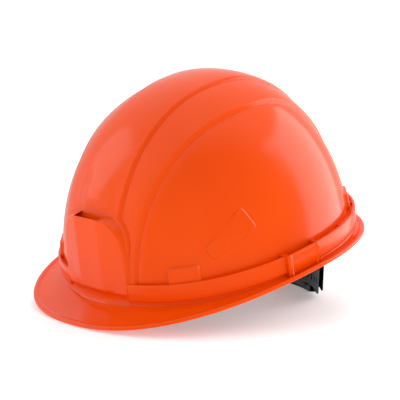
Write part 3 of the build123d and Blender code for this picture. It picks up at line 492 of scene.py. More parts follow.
# -------------------------------------------------------------------------------------------- shell
@dataclass(frozen=True)
class BowlForm:
    """Closed form of the bowl: an egg outline in plan and a superellipse in profile.

    A point lies on the bowl where the plan reach raised to q, plus the height share raised to q, is one;
    the plan reach is the P-norm of the x and y shares, and y is measured against the front or the rear.
    """

    half_width: float = 103.0
    front: float = 126.5
    rear: float = 110.0
    height: float = 141.0
    plan_power: float = 2.3
    profile_power: float = 2.15
    wall: float = 2.5
    # crown ridge: height of each step, and half widths at the front, the centre and the rear
    ridge_step: float = 1.75
    inner_ridge: tuple[float, float, float] = (23.4, 25.3, 31.0)
    outer_ridge: tuple[float, float, float] = (36.6, 53.9, 43.6)
    # lamp pocket: its levels, half widths of its foot and face, and the powers of the flare between them
    pocket_levels: tuple[float, float] = (11.3, 68.0)
    pocket_half: float = 34.8
    pocket_face: float = 12.7
    pocket_power: float = 4.0
    pocket_root: float = 0.55
    # shoulder round the pocket: its margin and fade above, its blend into the ridge, the valley beside it
    pocket_shoulder: tuple[float, float] = (1.6, 26.0)
    pocket_blend: float = 1.6
    pocket_valley: float = 4.6
    pocket_clear: float = 50.0  # how far inside the ridge the flare counts as lying, behind the centre
    # low swell over the pocket: its rise, and its half width, level and height
    brow_swell: float = 2.6
    brow_place: tuple[float, float, float] = (15.0, 78.0, 13.0)

    def plan_reach(self, x: np.ndarray, y: np.ndarray, growth: np.ndarray | float) -> np.ndarray:
        """P-norm of the shares of x and y in a bowl grown by growth millimetres."""
        length = np.where(y > 0, self.rear, self.front) + growth
        power = self.plan_power
        return (np.abs(x / (self.half_width + growth)) ** power + np.abs(y / length) ** power) ** (1 / power)

    def onto(self, points: np.ndarray, growth: np.ndarray | float) -> np.ndarray:
        """Slide points along rays from the centre of the rim plane onto the bowl.

        Args:
            points: array (..., 3) in millimetres.
            growth: how far the bowl is grown, one for all or one for each point.

        Returns:
            Array (..., 3).
        """
        x, y, z = np.moveaxis(points, -1, 0)
        power = self.profile_power
        size = self.plan_reach(x, y, growth) ** power + np.abs(z / (self.height + growth)) ** power
        return points * (size ** (-1 / power))[..., None]

    def beside(self, x: np.ndarray, y: np.ndarray, z: np.ndarray, growth: np.ndarray | float) -> np.ndarray:
        """Slide points level along rays from the upright axis onto the bowl.

        Args:
            x, y, z: places in millimetres.
            growth: how far the bowl is grown.

        Returns:
            Array (..., 3).
        """
        share = np.clip(np.abs(z) / (self.height + growth), 0, 1)
        level = (1 - share ** self.profile_power) ** (1 / self.profile_power)
        scale = level / self.plan_reach(x, y, growth)
        return np.stack(np.broadcast_arrays(x * scale, y * scale, z), axis=-1)

    def ahead(self, x: np.ndarray, z: np.ndarray, growth: float) -> np.ndarray:
        """How far ahead of the centre the bowl's front lies at x and z."""
        share = np.abs(z) / (self.height + growth)
        level = (1 - share ** self.profile_power) ** (self.plan_power / self.profile_power)
        rest = level - np.abs(x / (self.half_width + growth)) ** self.plan_power
        return (self.front + growth) * np.clip(rest, 0, 1) ** (1 / self.plan_power)

    def pocket_flare(self, z: np.ndarray) -> np.ndarray:
        """Half width of the lamp pocket at a height: full low down, and rounded in to its face at the top."""
        low, high = self.pocket_levels
        share = np.clip((z - low) / (high - low), 0, 1)
        spread = self.pocket_half - self.pocket_face
        return self.pocket_face + spread * (1 - share ** self.pocket_power) ** self.pocket_root

    def shoulder(self, y: np.ndarray, z: np.ndarray) -> np.ndarray:
        """Half width of the crown band at y and z: the inner ridge, but round the pocket where that is wider."""
        ridge = self.ridge_edge(y, self.inner_ridge)
        low, high = self.pocket_levels
        above = np.clip((z - high) / self.pocket_shoulder[1], 0, 1)
        flare = self.pocket_flare(z) + self.pocket_shoulder[0] - self.pocket_half * above
        wider = np.where(y < 0, flare - ridge, -self.pocket_clear)
        outer = self.ridge_edge(y, self.outer_ridge)
        return np.minimum(ridge + softened(wider, self.pocket_blend), outer - self.pocket_valley)

    def closing(self, y: np.ndarray, z: np.ndarray, room: float) -> np.ndarray:
        """Share by which offsets between the two ridge edges shrink where the edges are nearer than room."""
        return np.clip((self.ridge_edge(y, self.outer_ridge) - self.shoulder(y, z)) / room, 0, 1)

    def ridge_edge(self, y: np.ndarray, halves: tuple[float, float, float]) -> np.ndarray:
        """Half width of a ridge at y: the circle through its front, centre and rear half widths.

        The circle's centre solves the two equations that set it equally far from the three points.
        """
        (y0, x0), (y1, x1), (y2, x2) = zip((-self.front, 0.0, self.rear), halves)
        rows = np.array([[2 * (y1 - y0), 2 * (x1 - x0)], [2 * (y2 - y0), 2 * (x2 - x0)]])
        sums = np.array([y1 ** 2 + x1 ** 2 - y0 ** 2 - x0 ** 2, y2 ** 2 + x2 ** 2 - y0 ** 2 - x0 ** 2])
        cy, cx = np.linalg.solve(rows, sums)
        radius = math.hypot(y0 - cy, x0 - cx)
        bow = np.sqrt(radius ** 2 - (np.clip(y, -self.front, self.rear) - cy) ** 2)
        return cx + math.copysign(1, x1 - cx) * bow


BOWL = BowlForm()


@dataclass(frozen=True)
class Bowl:
    """The dome with its two-stepped crown ridge.

    Lines across the bowl are numbered by station: each station is a share of the inner ridge's half width, a
    share of the outer ridge's, and an offset in millimetres, so lines run exactly along both bevelled edges.
    """

    foot: float = 9.6
    along: int = 230
    # ridge bevel: its run, the rounding of its ends, and the offsets of the lines along it
    bevel_width: float = 2.0
    bevel_top: float = 0.3
    bevel_foot: float = 0.35
    near_edge: tuple[float, ...] = (-2.4, -0.7, -0.3, 0.0, 0.3, 0.9, 1.4, 1.7, 2.0, 2.25, 2.5, 2.8, 3.3, 6.0)
    groove: tuple[float, float, float] = (0.4, 2.35, 0.45)  # depth, place and half width at the bevel's foot
    room: float = 8.8  # room that the lines of two edges need between them
    least_shrink: float = 0.4
    centre_lines: int = 8
    between_lines: int = 8
    side_lines: int = 46
    halvings: int = 36

    def stations(self) -> np.ndarray:
        """Stations from the middle out to the foot of the outer edge, as rows (inner, outer, offset)."""
        edge = np.array(self.near_edge)
        centre = np.linspace(0, 1, self.centre_lines, endpoint=False)
        rows = [np.stack([centre, 0 * centre, centre * edge[0]], -1),
                np.stack([1 + 0 * edge, 0 * edge, edge], -1)]
        share = np.linspace(0, 1, self.between_lines + 1)[1:]
        rows.append(np.stack([1 - share, share, (1 - share) * edge[-1] + share * edge[0]], -1))
        rows.append(np.stack([0 * edge[1:], 1 + 0 * edge[1:], edge[1:]], -1))
        return np.concatenate(rows)

    def growth(self, points: np.ndarray) -> np.ndarray:
        """Growth of the bowl at points: a bevelled step down at each ridge edge, and the brow's low swell.

        A fine groove along the foot of each bevel is a bell curve across it, and so is the swell in height.
        """
        x, y, z = np.moveaxis(points, -1, 0)
        total = 0.0
        narrow = np.maximum(BOWL.closing(y, z, self.room), self.least_shrink)
        for edge, shrink in ((BOWL.shoulder(y, z), narrow), (BOWL.ridge_edge(y, BOWL.outer_ridge), 1.0)):
            beyond = (np.abs(x) - edge) / shrink
            total = total + BOWL.ridge_step * bevel(beyond, self.bevel_width, self.bevel_top, self.bevel_foot)
            depth, place, half_width = self.groove
            total = total - depth * np.exp(-((beyond - place) / half_width) ** 2)
        half, level, tall = BOWL.brow_place
        swell = np.exp(-(x / half) ** 4 - ((z - level) / tall) ** 2) * (y < 0)
        return total + BOWL.brow_swell * swell

    def crown(self, turn: np.ndarray) -> np.ndarray:
        """Points of the crown band, half of it: along each station at each turn from front to rear.

        At a turn, y and z are a common share r of the bowl's length and height times the turn's cosine and
        sine; r is found by halving a bracket until the point lies on the bowl.

        Args:
            turn: angles from the front over the crown.

        Returns:
            Array (turns, stations, 3).
        """
        rows = self.stations()
        inner, outer, offset = [rows[None, :, k] for k in range(3)]
        between = ((inner == 1) & (offset > 0)) | ((outer > 0) & (outer < 1)) | ((outer == 1) & (offset < 0))
        cos, sin = np.cos(turn)[:, None], np.sin(turn)[:, None]
        length = np.where(cos > 0, BOWL.front, BOWL.rear)
        low = np.zeros((len(turn), len(rows)))
        high = low + 1.1
        for _ in range(self.halvings):
            r = (low + high) / 2
            y, z = -r * cos * length, r * sin * BOWL.height
            shrink = np.where(between, BOWL.closing(y, z, self.room), 1.0)
            x = inner * BOWL.shoulder(y, z) + outer * BOWL.ridge_edge(y, BOWL.outer_ridge) + offset * shrink
            size = BOWL.plan_reach(x, y, 0.0) ** BOWL.profile_power + (z / BOWL.height) ** BOWL.profile_power
            low, high = np.where(size < 1, r, low), np.where(size < 1, high, r)
        return np.stack([x, y, z], -1)

    def side(self, edge: np.ndarray) -> np.ndarray:
        """Points of one side panel: straight lines from the ridge's foot to the rim, slid onto the bowl.

        The rim's end of each line keeps the y of the ridge's end, so lines lie across the helmet.

        Args:
            edge: array (along, 3), the crown band's last line.

        Returns:
            Array (along, side_lines, 3) without the edge itself.
        """
        y = edge[:, 1]
        z = np.linspace(edge[0, 2], edge[-1, 2], len(edge))
        level = (1 - (z / BOWL.height) ** BOWL.profile_power) ** (BOWL.plan_power / BOWL.profile_power)
        length = np.where(y > 0, BOWL.rear, BOWL.front)
        x = BOWL.half_width * np.clip(level - np.abs(y / length) ** BOWL.plan_power, 0, 1) ** (1 / BOWL.plan_power)
        rim = np.stack([x, y, z], -1)
        rim[[0, -1]] = edge[[0, -1]]
        share = np.linspace(0, 1, self.side_lines + 1)[1:, None][None]
        panel = BOWL.onto(edge[:, None] * (1 - share) + rim[:, None] * share, 0.0)
        panel[[0, -1]] = edge[[0, -1], None]
        return panel

    def build(self) -> bpy.types.Object:
        """Build the dome: outer face grown by its ridges, inner face one wall inside it."""
        start = math.asin(self.foot / BOWL.height)
        turn = np.linspace(start, math.pi - start, self.along)
        crown = self.crown(turn)
        half = np.concatenate([crown, self.side(crown[:, -1])], axis=1)
        mirrored = half[:, :0:-1] * np.array([-1.0, 1.0, 1.0])
        bare = np.concatenate([mirrored, half], axis=1)
        growth = self.growth(bare)
        outer = BOWL.onto(bare, growth)
        inner = BOWL.onto(bare, growth - BOWL.wall)
        return slab("shell_bowl", STANCE.place(outer), STANCE.place(inner))


@dataclass(frozen=True)
class BrimRing:
    """Rain gutter, skirt and brim: one closed profile carried round the bowl.

    A profile point is an egg outline (half width, front, rear) at a height. It bows down on a circle towards
    the front and the rear by its droop, lifts under the lamp pocket if it belongs to the foot of the
    gutter's wall, and lifts outside the accessory slots if it belongs to the gutter's floor.
    """

    turns: int = 420
    # gutter: its floor, how much higher that lies outside the slots, and the slots' span in y
    gutter_floor: float = 11.0
    gutter_fill: float = 5.6
    gutter_round: float = 0.9
    slot_span: tuple[float, float] = (-26.2, 7.2)
    # gutter's wall: its levels, its margins at the sides and the front, and its lift under the lamp pocket
    band_bottom: float = 5.5
    band_top: float = 19.0
    band_margin: tuple[float, float] = (5.5, 2.5)
    band_wall: float = 2.2
    lift: float = 6.4
    lift_half: float = 33.2
    lift_fade: float = 1.2
    skirt_margin: float = 3.0
    skirt_front: float = 1.0
    buried: float = 1.3  # how deep the profile's ends lie in the bowl's wall
    # brim: half width, front and rear, and how much of its droop its root takes
    brim: tuple[float, float, float] = (114.5, STANCE.brim_front, STANCE.brim_rear)
    thickness: float = STANCE.brim_thickness
    root_droop: float = 0.3
    root_round: tuple[tuple[float, float], ...] = ((0.0, 1.0), (0.3, 0.35), (1.1, 0.0))  # outwards, upwards
    lip_width: float = 3.6
    lip_height: float = 0.8
    lip_rise: tuple[tuple[float, float], ...] = ((1.4, 0.0), (0.5, 0.12), (0.0, 0.45), (-0.5, 0.72))
    edge_round: float = 1.15
    corner: float = 0.7

    def margin(self, side: float, front: float | None = None) -> np.ndarray:
        """Egg outline outside the bowl by a margin, with another margin at the front if given."""
        ahead = side if front is None else front
        return np.array([BOWL.half_width + side, BOWL.front + ahead, BOWL.rear + side])

    def profile(self) -> tuple[np.ndarray, ...]:
        """Outlines, heights, droops, lifts and fills of the profile, from inside the gutter to the hollow."""
        side, front = self.band_margin
        wall, top, c = self.band_wall, self.band_top, self.corner
        brim, t = np.array(self.brim), self.thickness
        points: list[tuple[np.ndarray, float, float, float, float]] = []
        skirt = self.margin(self.skirt_margin, self.skirt_front)

        def at(outline: np.ndarray, height: float, droops: float = 0.0, lifts: float = 0.0,
               fills: float = 0.0) -> None:
            """Add a profile point."""
            points.append((outline, height, droops, lifts, fills))

        quarter = np.linspace(0, math.pi / 2, 4)
        at(self.margin(-self.buried), self.gutter_floor, fills=1.0)
        at(self.margin(0.4, -0.3), self.gutter_floor, fills=1.0)
        for a in quarter:
            inset = wall + self.gutter_round * (1 - math.sin(a))
            at(self.margin(side - inset, front - inset), self.gutter_floor + self.gutter_round * (1 - math.cos(a)),
               fills=1.0)
        for a in quarter:
            inset = wall - c * (1 - math.cos(a))
            at(self.margin(side - inset, front - inset), top - c * (1 - math.sin(a)))
        for a in quarter:
            inset = c * (1 - math.sin(a))
            at(self.margin(side - inset, front - inset), top - c * (1 - math.cos(a)))
        at(self.margin(side, front), (top + self.band_bottom) / 2)
        for a in quarter:
            inset = c * (1 - math.cos(a))
            at(self.margin(side - inset, front - inset), self.band_bottom + c * (1 - math.sin(a)), lifts=1.0)
        at(skirt, self.band_bottom, lifts=1.0)
        at(skirt, self.band_bottom - 0.8, lifts=1.0)
        for out, rise in self.root_round:
            at(skirt + out, t + rise, self.root_droop)
        for out, rise in self.lip_rise:
            at(brim - self.lip_width - out, t + rise, 1.0)
        full = t + self.lip_height
        for inset in (self.lip_width - 1.1, self.edge_round + 0.2):
            at(brim - inset, full, 1.0)
        for a in np.linspace(0, math.pi, 9)[1:-1]:
            at(brim - self.edge_round * (1 - math.sin(a)), full / 2 + full / 2 * math.cos(a), 1.0)
        at(brim - self.edge_round - 0.2, 0.0, 1.0)
        at(brim - self.lip_width - 1.0, 0.0, 1.0)
        under = skirt - BOWL.wall
        at(under + 1.0, 0.0, self.root_droop)
        at(under, 0.8, self.root_droop)
        hollow = self.gutter_floor - BOWL.wall
        at(under, hollow - 1.0)
        at(under - 1.0, hollow)
        at(self.margin(-BOWL.wall + 0.3), hollow)
        at(self.margin(-self.buried), self.gutter_floor - 0.6)
        return tuple(np.array(column) for column in zip(*points))

    def fall(self, y: np.ndarray) -> np.ndarray:
        """Bow of the brim's edge below the rim plane: a circle to the front tip and another to the rear."""
        reach = np.where(y > 0, self.brim[2], self.brim[1])
        drop = np.where(y > 0, STANCE.brim_rear_droop, STANCE.brim_droop)
        radius = (reach ** 2 + drop ** 2) / (2 * drop)
        return radius - np.sqrt(radius ** 2 - np.minimum(np.abs(y), reach) ** 2)

    def build(self) -> bpy.types.Object:
        """Carry the profile round the bowl on egg outlines."""
        outlines, heights, droops, lifts, fills = self.profile()
        turn = np.linspace(0, 2 * math.pi, self.turns, endpoint=False)[:, None]
        cos, sin = np.cos(turn), np.sin(turn)
        reach = (np.abs(cos) ** BOWL.plan_power + np.abs(sin) ** BOWL.plan_power) ** (-1 / BOWL.plan_power)
        half, front, rear = outlines.T
        x, y = half * cos * reach, np.where(sin > 0, rear, front) * sin * reach
        under_pocket = np.clip((self.lift_half - np.abs(x)) / self.lift_fade, 0, 1) * (y < 0)
        clear = (y < self.slot_span[0]) | (y > self.slot_span[1])
        z = heights - droops * self.fall(y) + lifts * self.lift * under_pocket + fills * self.gutter_fill * clear
        return swept("shell_brim", STANCE.place(np.stack([x, y, np.broadcast_to(z, x.shape)], -1)))


@dataclass(frozen=True)
class LampPocket:
    """Faceted, flared pocket on the brow for a clip-on lamp, open at its top."""

    face_half: float = BOWL.pocket_face
    face_bottom: tuple[float, float] = (130.9, BOWL.pocket_levels[0])  # distance ahead, height
    face_top: tuple[float, float] = (127.7, BOWL.pocket_levels[1])
    facet_slope: float = 0.278  # side facets fall back this much for each millimetre outwards
    flange_spread: float = 2.2
    flange: float = 1.5
    wall: float = 2.2
    floor: float = 20.0
    lip: float = 0.9
    sunk: float = 1.4  # how deep the pocket's root lies in the bowl
    facet_round: float = 1.6
    plinth_inset: float = 1.0
    skirting: float = 0.9
    side_points: int = 26
    round_points: int = 7
    levels: int = 40

    def outline(self, level: float, inset: float) -> np.ndarray:
        """Closed outline of the pocket at a level, with its back inside the bowl.

        The front runs from one root along the flange, its facet, the face, and back, with a quadratic curve
        round each corner; the back follows the bowl's wall.

        Args:
            level: height above the rim plane.
            inset: how far the outline lies inside the pocket's faces.

        Returns:
            Array (points, 2).
        """
        share = (level - self.face_bottom[1]) / (self.face_top[1] - self.face_bottom[1])
        front = self.face_bottom[0] + share * (self.face_top[0] - self.face_bottom[0]) - inset
        half = self.face_half - inset * 0.4
        side = max(float(BOWL.pocket_flare(np.array(level))) - inset, half + 0.6)
        fallen = front - self.facet_slope * (side - half)
        foot = side + max(self.flange_spread - inset, 0.0)
        root = float(BOWL.ahead(np.array(foot), np.array(level), self.sunk))
        corners = np.array([(-foot, -root), (-side, -fallen), (-half, -front), (half, -front), (side, -fallen),
                            (foot, -root)])
        path = [corners[0]]
        count = self.side_points // 2
        t = np.linspace(0, 1, self.round_points)[:, None]
        radii = (self.flange, self.facet_round, self.facet_round, self.flange)
        for before, corner, after, radius in zip(corners[:-2], corners[1:-1], corners[2:], radii):
            radius = max(0.05, min(radius, 0.45 * np.linalg.norm(before - corner)))
            start = corner + (before - corner) * radius / max(np.linalg.norm(before - corner), 1e-6)
            end = corner + (after - corner) * radius / np.linalg.norm(after - corner)
            gap = np.linspace(0, 1, count)[1:-1, None]
            path.append(path[-1].reshape(-1, 2)[-1] * (1 - gap) + start * gap)
            path.append((1 - t) ** 2 * start + 2 * t * (1 - t) * corner + t ** 2 * end)
        gap = np.linspace(0, 1, count)[1:, None]
        path.append(path[-1][-1] * (1 - gap) + corners[-1] * gap)
        x = np.linspace(foot, -foot, self.side_points)[1:-1]
        path.append(np.stack([x, -BOWL.ahead(x, np.full_like(x, level), self.sunk)], -1))
        return np.concatenate([part.reshape(-1, 2) for part in path])

    def ring(self, level: float, inset: float) -> np.ndarray:
        """One ring of the pocket in metres."""
        plan = self.outline(level, inset)
        return STANCE.place(np.column_stack([plan, np.full(len(plan), level)]))

    def build(self) -> bpy.types.Object:
        """Loft the pocket: up its outside, over the thin lip, and down its hollow."""
        low, high, c = self.face_bottom[1], self.face_top[1], self.lip / 2
        plinth, brim = self.outline(low, self.plinth_inset), BrimRing()
        skirting = self.outline(low, self.plinth_inset - self.skirting)
        rings = []
        for plan, rise in ((skirting, -self.skirting), (skirting, 0.15), (plinth * 0.3 + skirting * 0.7, 0.3),
                           (plinth, self.skirting), (plinth, None)):
            root = brim.thickness - brim.root_droop * brim.fall(plan[:, 1])
            z = np.full(len(plan), low) if rise is None else root + rise
            rings.append(STANCE.place(np.column_stack([plan, z])))
        rings += [self.ring(low, 0.3), self.ring(low + 0.3, 0.0)]
        rings += [self.ring(level, 0.0) for level in np.linspace(low + 2, high - c, self.levels)]
        rings += [self.ring(high - c + c * math.sin(a), c * (1 - math.cos(a)))
                  for a in np.linspace(0, math.pi, 7)[1:-1]]
        rings += [self.ring(high - c, self.lip), self.ring(high - 4, self.lip + 0.3)]
        rings += [self.ring(level, self.wall) for level in np.linspace(high - 12, self.floor, 12)]
        return loft("shell_lamp_pocket", np.array(rings))


@dataclass(frozen=True)
class AccessorySlot:
    """Open-topped pocket at one side of the gutter, for the foot of an ear muff's arm."""

    length: float = 29.0
    gap: float = 4.9
    centre_ahead: float = 9.5
    wall: float = 2.0
    end_wall: float = 3.5
    bottom: float = 1.6
    floor: float = BrimRing.gutter_floor
    top: float = 19.5
    corner: float = 0.9
    rib: float = 0.3
    rib_width: float = 2.4
    lip: float = 0.6
    sunk: float = 1.6
    corner_points: int = 9
    side_points: int = 40

    def ring(self, side: int, level: float, inset: float, hollow: bool) -> np.ndarray:
        """Rounded rectangle of the pocket at a level, whose outer side carries a rib near each end.

        Args:
            side: 1 for the wearer's left and -1 for the right.
            level: height above the rim plane.
            inset: how far the ring lies inside the pocket's outside or its hollow.
            hollow: whether the ring belongs to the hollow.

        Returns:
            Array (points, 3) in metres.
        """
        reach = BOWL.half_width + self.gap + (0.0 if hollow else self.wall) - inset
        near = BOWL.half_width - self.sunk
        half = self.length / 2 + (0.0 if hollow else self.end_wall) - inset
        corners = np.array([(near, -half), (reach, -half), (reach, half), (near, half)])
        rounds = rounded_outline(corners, self.corner, self.corner_points).reshape(4, -1, 2)
        share = np.linspace(0, 1, self.side_points + 2)[1:-1, None]
        sides = rounds[:, -1:] * (1 - share) + np.roll(rounds, -1, axis=0)[:, :1] * share
        plan = np.concatenate([rounds, sides], axis=1).reshape(-1, 2)
        if not hollow:
            along = np.abs(plan[:, 1])
            raised = self.rib * (bevel(np.abs(along - half + self.rib_width) - self.rib_width / 2, 0.6, 0.2, 0.2))
            plan[:, 0] += np.where(plan[:, 0] > near + 3, raised, 0.0)
        x, y = side * plan[:, 0], plan[:, 1] - self.centre_ahead
        return STANCE.place(np.column_stack([x, y, np.full(len(plan), level)]))

    def build(self, side: int) -> bpy.types.Object:
        """Loft one pocket; side is 1 for the wearer's left and -1 for the right."""
        c = self.lip
        rings = [self.ring(side, self.bottom, 0.0, False), self.ring(side, self.top - c, 0.0, False)]
        rings += [self.ring(side, self.top - c + c * math.sin(a), c * (1 - math.cos(a)), False)
                  for a in np.linspace(0, math.pi / 2, 5)[1:]]
        rings += [self.ring(side, self.top, 0.3, True), self.ring(side, self.top - 0.4, 0.0, True),
                  self.ring(side, self.floor, 0.0, True)]
        return loft(f"shell_accessory_slot_{'left' if side > 0 else 'right'}", np.array(rings))


@dataclass(frozen=True)
class Plaque:
    """Raised patch on the bowl: a rounded outline in (sideways, up), bevelled down to the bowl all round."""

    name: str
    corners: tuple[tuple[float, float], ...]
    round_off: float
    step: float
    slope: float
    sunk: float = 0.8
    top_scales: tuple[float, ...] = (0.02, 0.4, 0.75)
    # the rounded slope at the edge: slopes' widths in from the outline, and share of the step there
    profile: tuple[tuple[float, float], ...] = ((2.2, 1.0), (1.5, 1.0), (1.1, 0.96), (0.8, 0.78),
                                                (0.25, 0.2), (0.0, 0.04))

    def build(self, centre: tuple[float, float], side: int, suffix: str) -> bpy.types.Object:
        """Build the patch at a place on the bowl.

        Args:
            centre: x and y of the ray from the upright axis that the patch is laid out across.
            side: 1 or -1, which mirrors the outline.
            suffix: end of the piece's name.

        Returns:
            The object. Rings shrink the outline towards its middle; each is slid level onto the bowl grown
            by the patch's height there.
        """
        plan = rounded_outline(np.array(self.corners, float), self.round_off, 14)
        middle = plan.mean(axis=0)
        size = float(np.abs(plan - middle).max())
        across = np.array([-centre[1], centre[0]]) / math.hypot(*centre)
        foot = self.slope / size
        flat_top = [(scale, self.step) for scale in self.top_scales]
        slope = [(1 - run * foot, rise * self.step) for run, rise in self.profile]
        stations = flat_top + slope + [(1 + 0.4 * foot, -0.15), (1 + 0.4 * foot, -self.sunk),
                                       (self.top_scales[0], -self.sunk)]
        rings = []
        for scale, growth in stations:
            flat = middle + (plan - middle) * scale
            xy = np.array(centre) + np.outer(side * flat[:, 0], across)
            rings.append(STANCE.place(BOWL.beside(xy[:, 0], xy[:, 1], flat[:, 1], growth)))
        return loft(f"shell_{self.name}_{suffix}", np.array(rings))


@dataclass(frozen=True)
class RoundedBlock:
    """Block with rounded edges that stands across a ray from the suspension's centre."""

    width: float
    depth: float
    height: float
    edge: float = 0.5
    steps: int = 16

    def points(self) -> np.ndarray:
        """Rings of the block about its own centre: a small ball whose eighths are pushed to the corners."""
        rise = (np.arange(self.steps) + 0.5) / self.steps * math.pi - math.pi / 2
        turn = (np.arange(2 * self.steps) + 0.5) / self.steps * math.pi
        rise, turn = np.meshgrid(rise, turn, indexing="ij")
        ball = np.stack([np.cos(rise) * np.cos(turn), np.cos(rise) * np.sin(turn), np.sin(rise)], -1)
        core = np.array([self.depth, self.width, self.height]) / 2 - self.edge
        return core * np.sign(ball) + self.edge * ball

    def build(self, name: str, angle: float, reach: float, level: float, centre_y: float) -> bpy.types.Object:
        """Build the block across a ray.

        Args:
            name: name of the piece.
            angle: angle of the ray round from the front, in degrees.
            reach, level: how far out along the ray and how high the block's centre lies.
            centre_y: y of the centre that the ray starts from.

        Returns:
            The object.
        """
        out, along, up = ray(angle)
        p = self.points()
        local = (p[..., :1] + reach) * out + p[..., 1:2] * along + (p[..., 2:] + level) * up
        return loft(name, STANCE.place(local + np.array([0.0, centre_y, 0.0])))


@dataclass(frozen=True)
class Shell:
    """The moulded shell: dome, brim, lamp pocket, accessory slots, bumps, gutter webs and sockets."""

    head_ahead: float = 8.0  # centre of the suspension ahead of the rim plane's
    hanger_angles: tuple[int, ...] = (36, -36, 90, -90, 144, -144)
    web_angles: tuple[int, ...] = (118, -118, 142, -142)
    bump: Plaque = Plaque("bump", ((-13.0, 13.0), (13.0, 13.0), (12.0, 30.5), (-12.0, 30.5)), 2.6, 2.4, 1.3)
    bump_shift: float = 4.2
    triangle: Plaque = Plaque("emboss", ((-3.9, 64.8), (6.4, 45.8), (-30.8, 30.9), (-37.1, 41.0)), 4.9, 0.8, 0.8)
    triangle_ray: tuple[float, float] = (92.0, -46.0)
    socket: RoundedBlock = RoundedBlock(22.0, 8.0, 17.3, 0.8)
    socket_place: tuple[float, float] = (3.4, 20.6)  # inside the wall, level
    web: RoundedBlock = RoundedBlock(2.0, 7.0, 7.6, 0.5)
    web_place: tuple[float, float] = (2.0, 14.6)  # outside the bowl, level

    def wall_reach(self, angle: float, margin: float) -> float:
        """Distance from the suspension's centre to the bowl's wall, in from its outside by a margin."""
        out = ray(angle)[0]
        near, far = 0.0, BOWL.front + BOWL.rear
        for _ in range(40):
            reach = (near + far) / 2
            x, y = reach * out[0], reach * out[1] - self.head_ahead
            near, far = (reach, far) if BOWL.plan_reach(x, y, -margin) < 1 else (near, reach)
        return near

    def build(self) -> list[bpy.types.Object]:
        """Build and dress every piece of the shell."""
        pieces = [Bowl().build(), BrimRing().build(), LampPocket().build()]
        pieces += [AccessorySlot().build(side) for side in (1, -1)]
        for angle in self.hanger_angles:
            out, along, _ = ray(angle)
            reach = self.wall_reach(angle, BOWL.wall)
            word = f"{'left' if angle > 0 else 'right'}_{abs(angle)}"
            if abs(angle) != 90:
                shift = math.copysign(self.bump_shift, angle) * (1 if abs(angle) < 90 else -1)
                x, y, _ = reach * out + shift * along
                pieces.append(self.bump.build((x, y - self.head_ahead), 1, word))
            pieces.append(self.socket.build(f"shell_socket_{word}", angle, reach - self.socket_place[0],
                                            self.socket_place[1], -self.head_ahead))
        for side, word in ((1, "left"), (-1, "right")):
            x, y = self.triangle_ray
            pieces.append(self.triangle.build((side * x, y), side, word))
        for angle in self.web_angles:
            reach = self.wall_reach(angle, -self.web_place[0])
            word = f"{'left' if angle > 0 else 'right'}_{abs(angle)}"
            pieces.append(self.web.build(f"shell_web_{word}", angle, reach, self.web_place[1], -self.head_ahead))
        for piece in pieces:
            dress(piece, Finish.SHELL)
            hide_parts("shell")
        return pieces


# ------------------------------------------------------------------------------------- soft lining
class Wrap(Enum):
    """How the weave lies on a pad: round an upright band, or flat from above."""

    BAND = "band"
    FLAT = "flat"


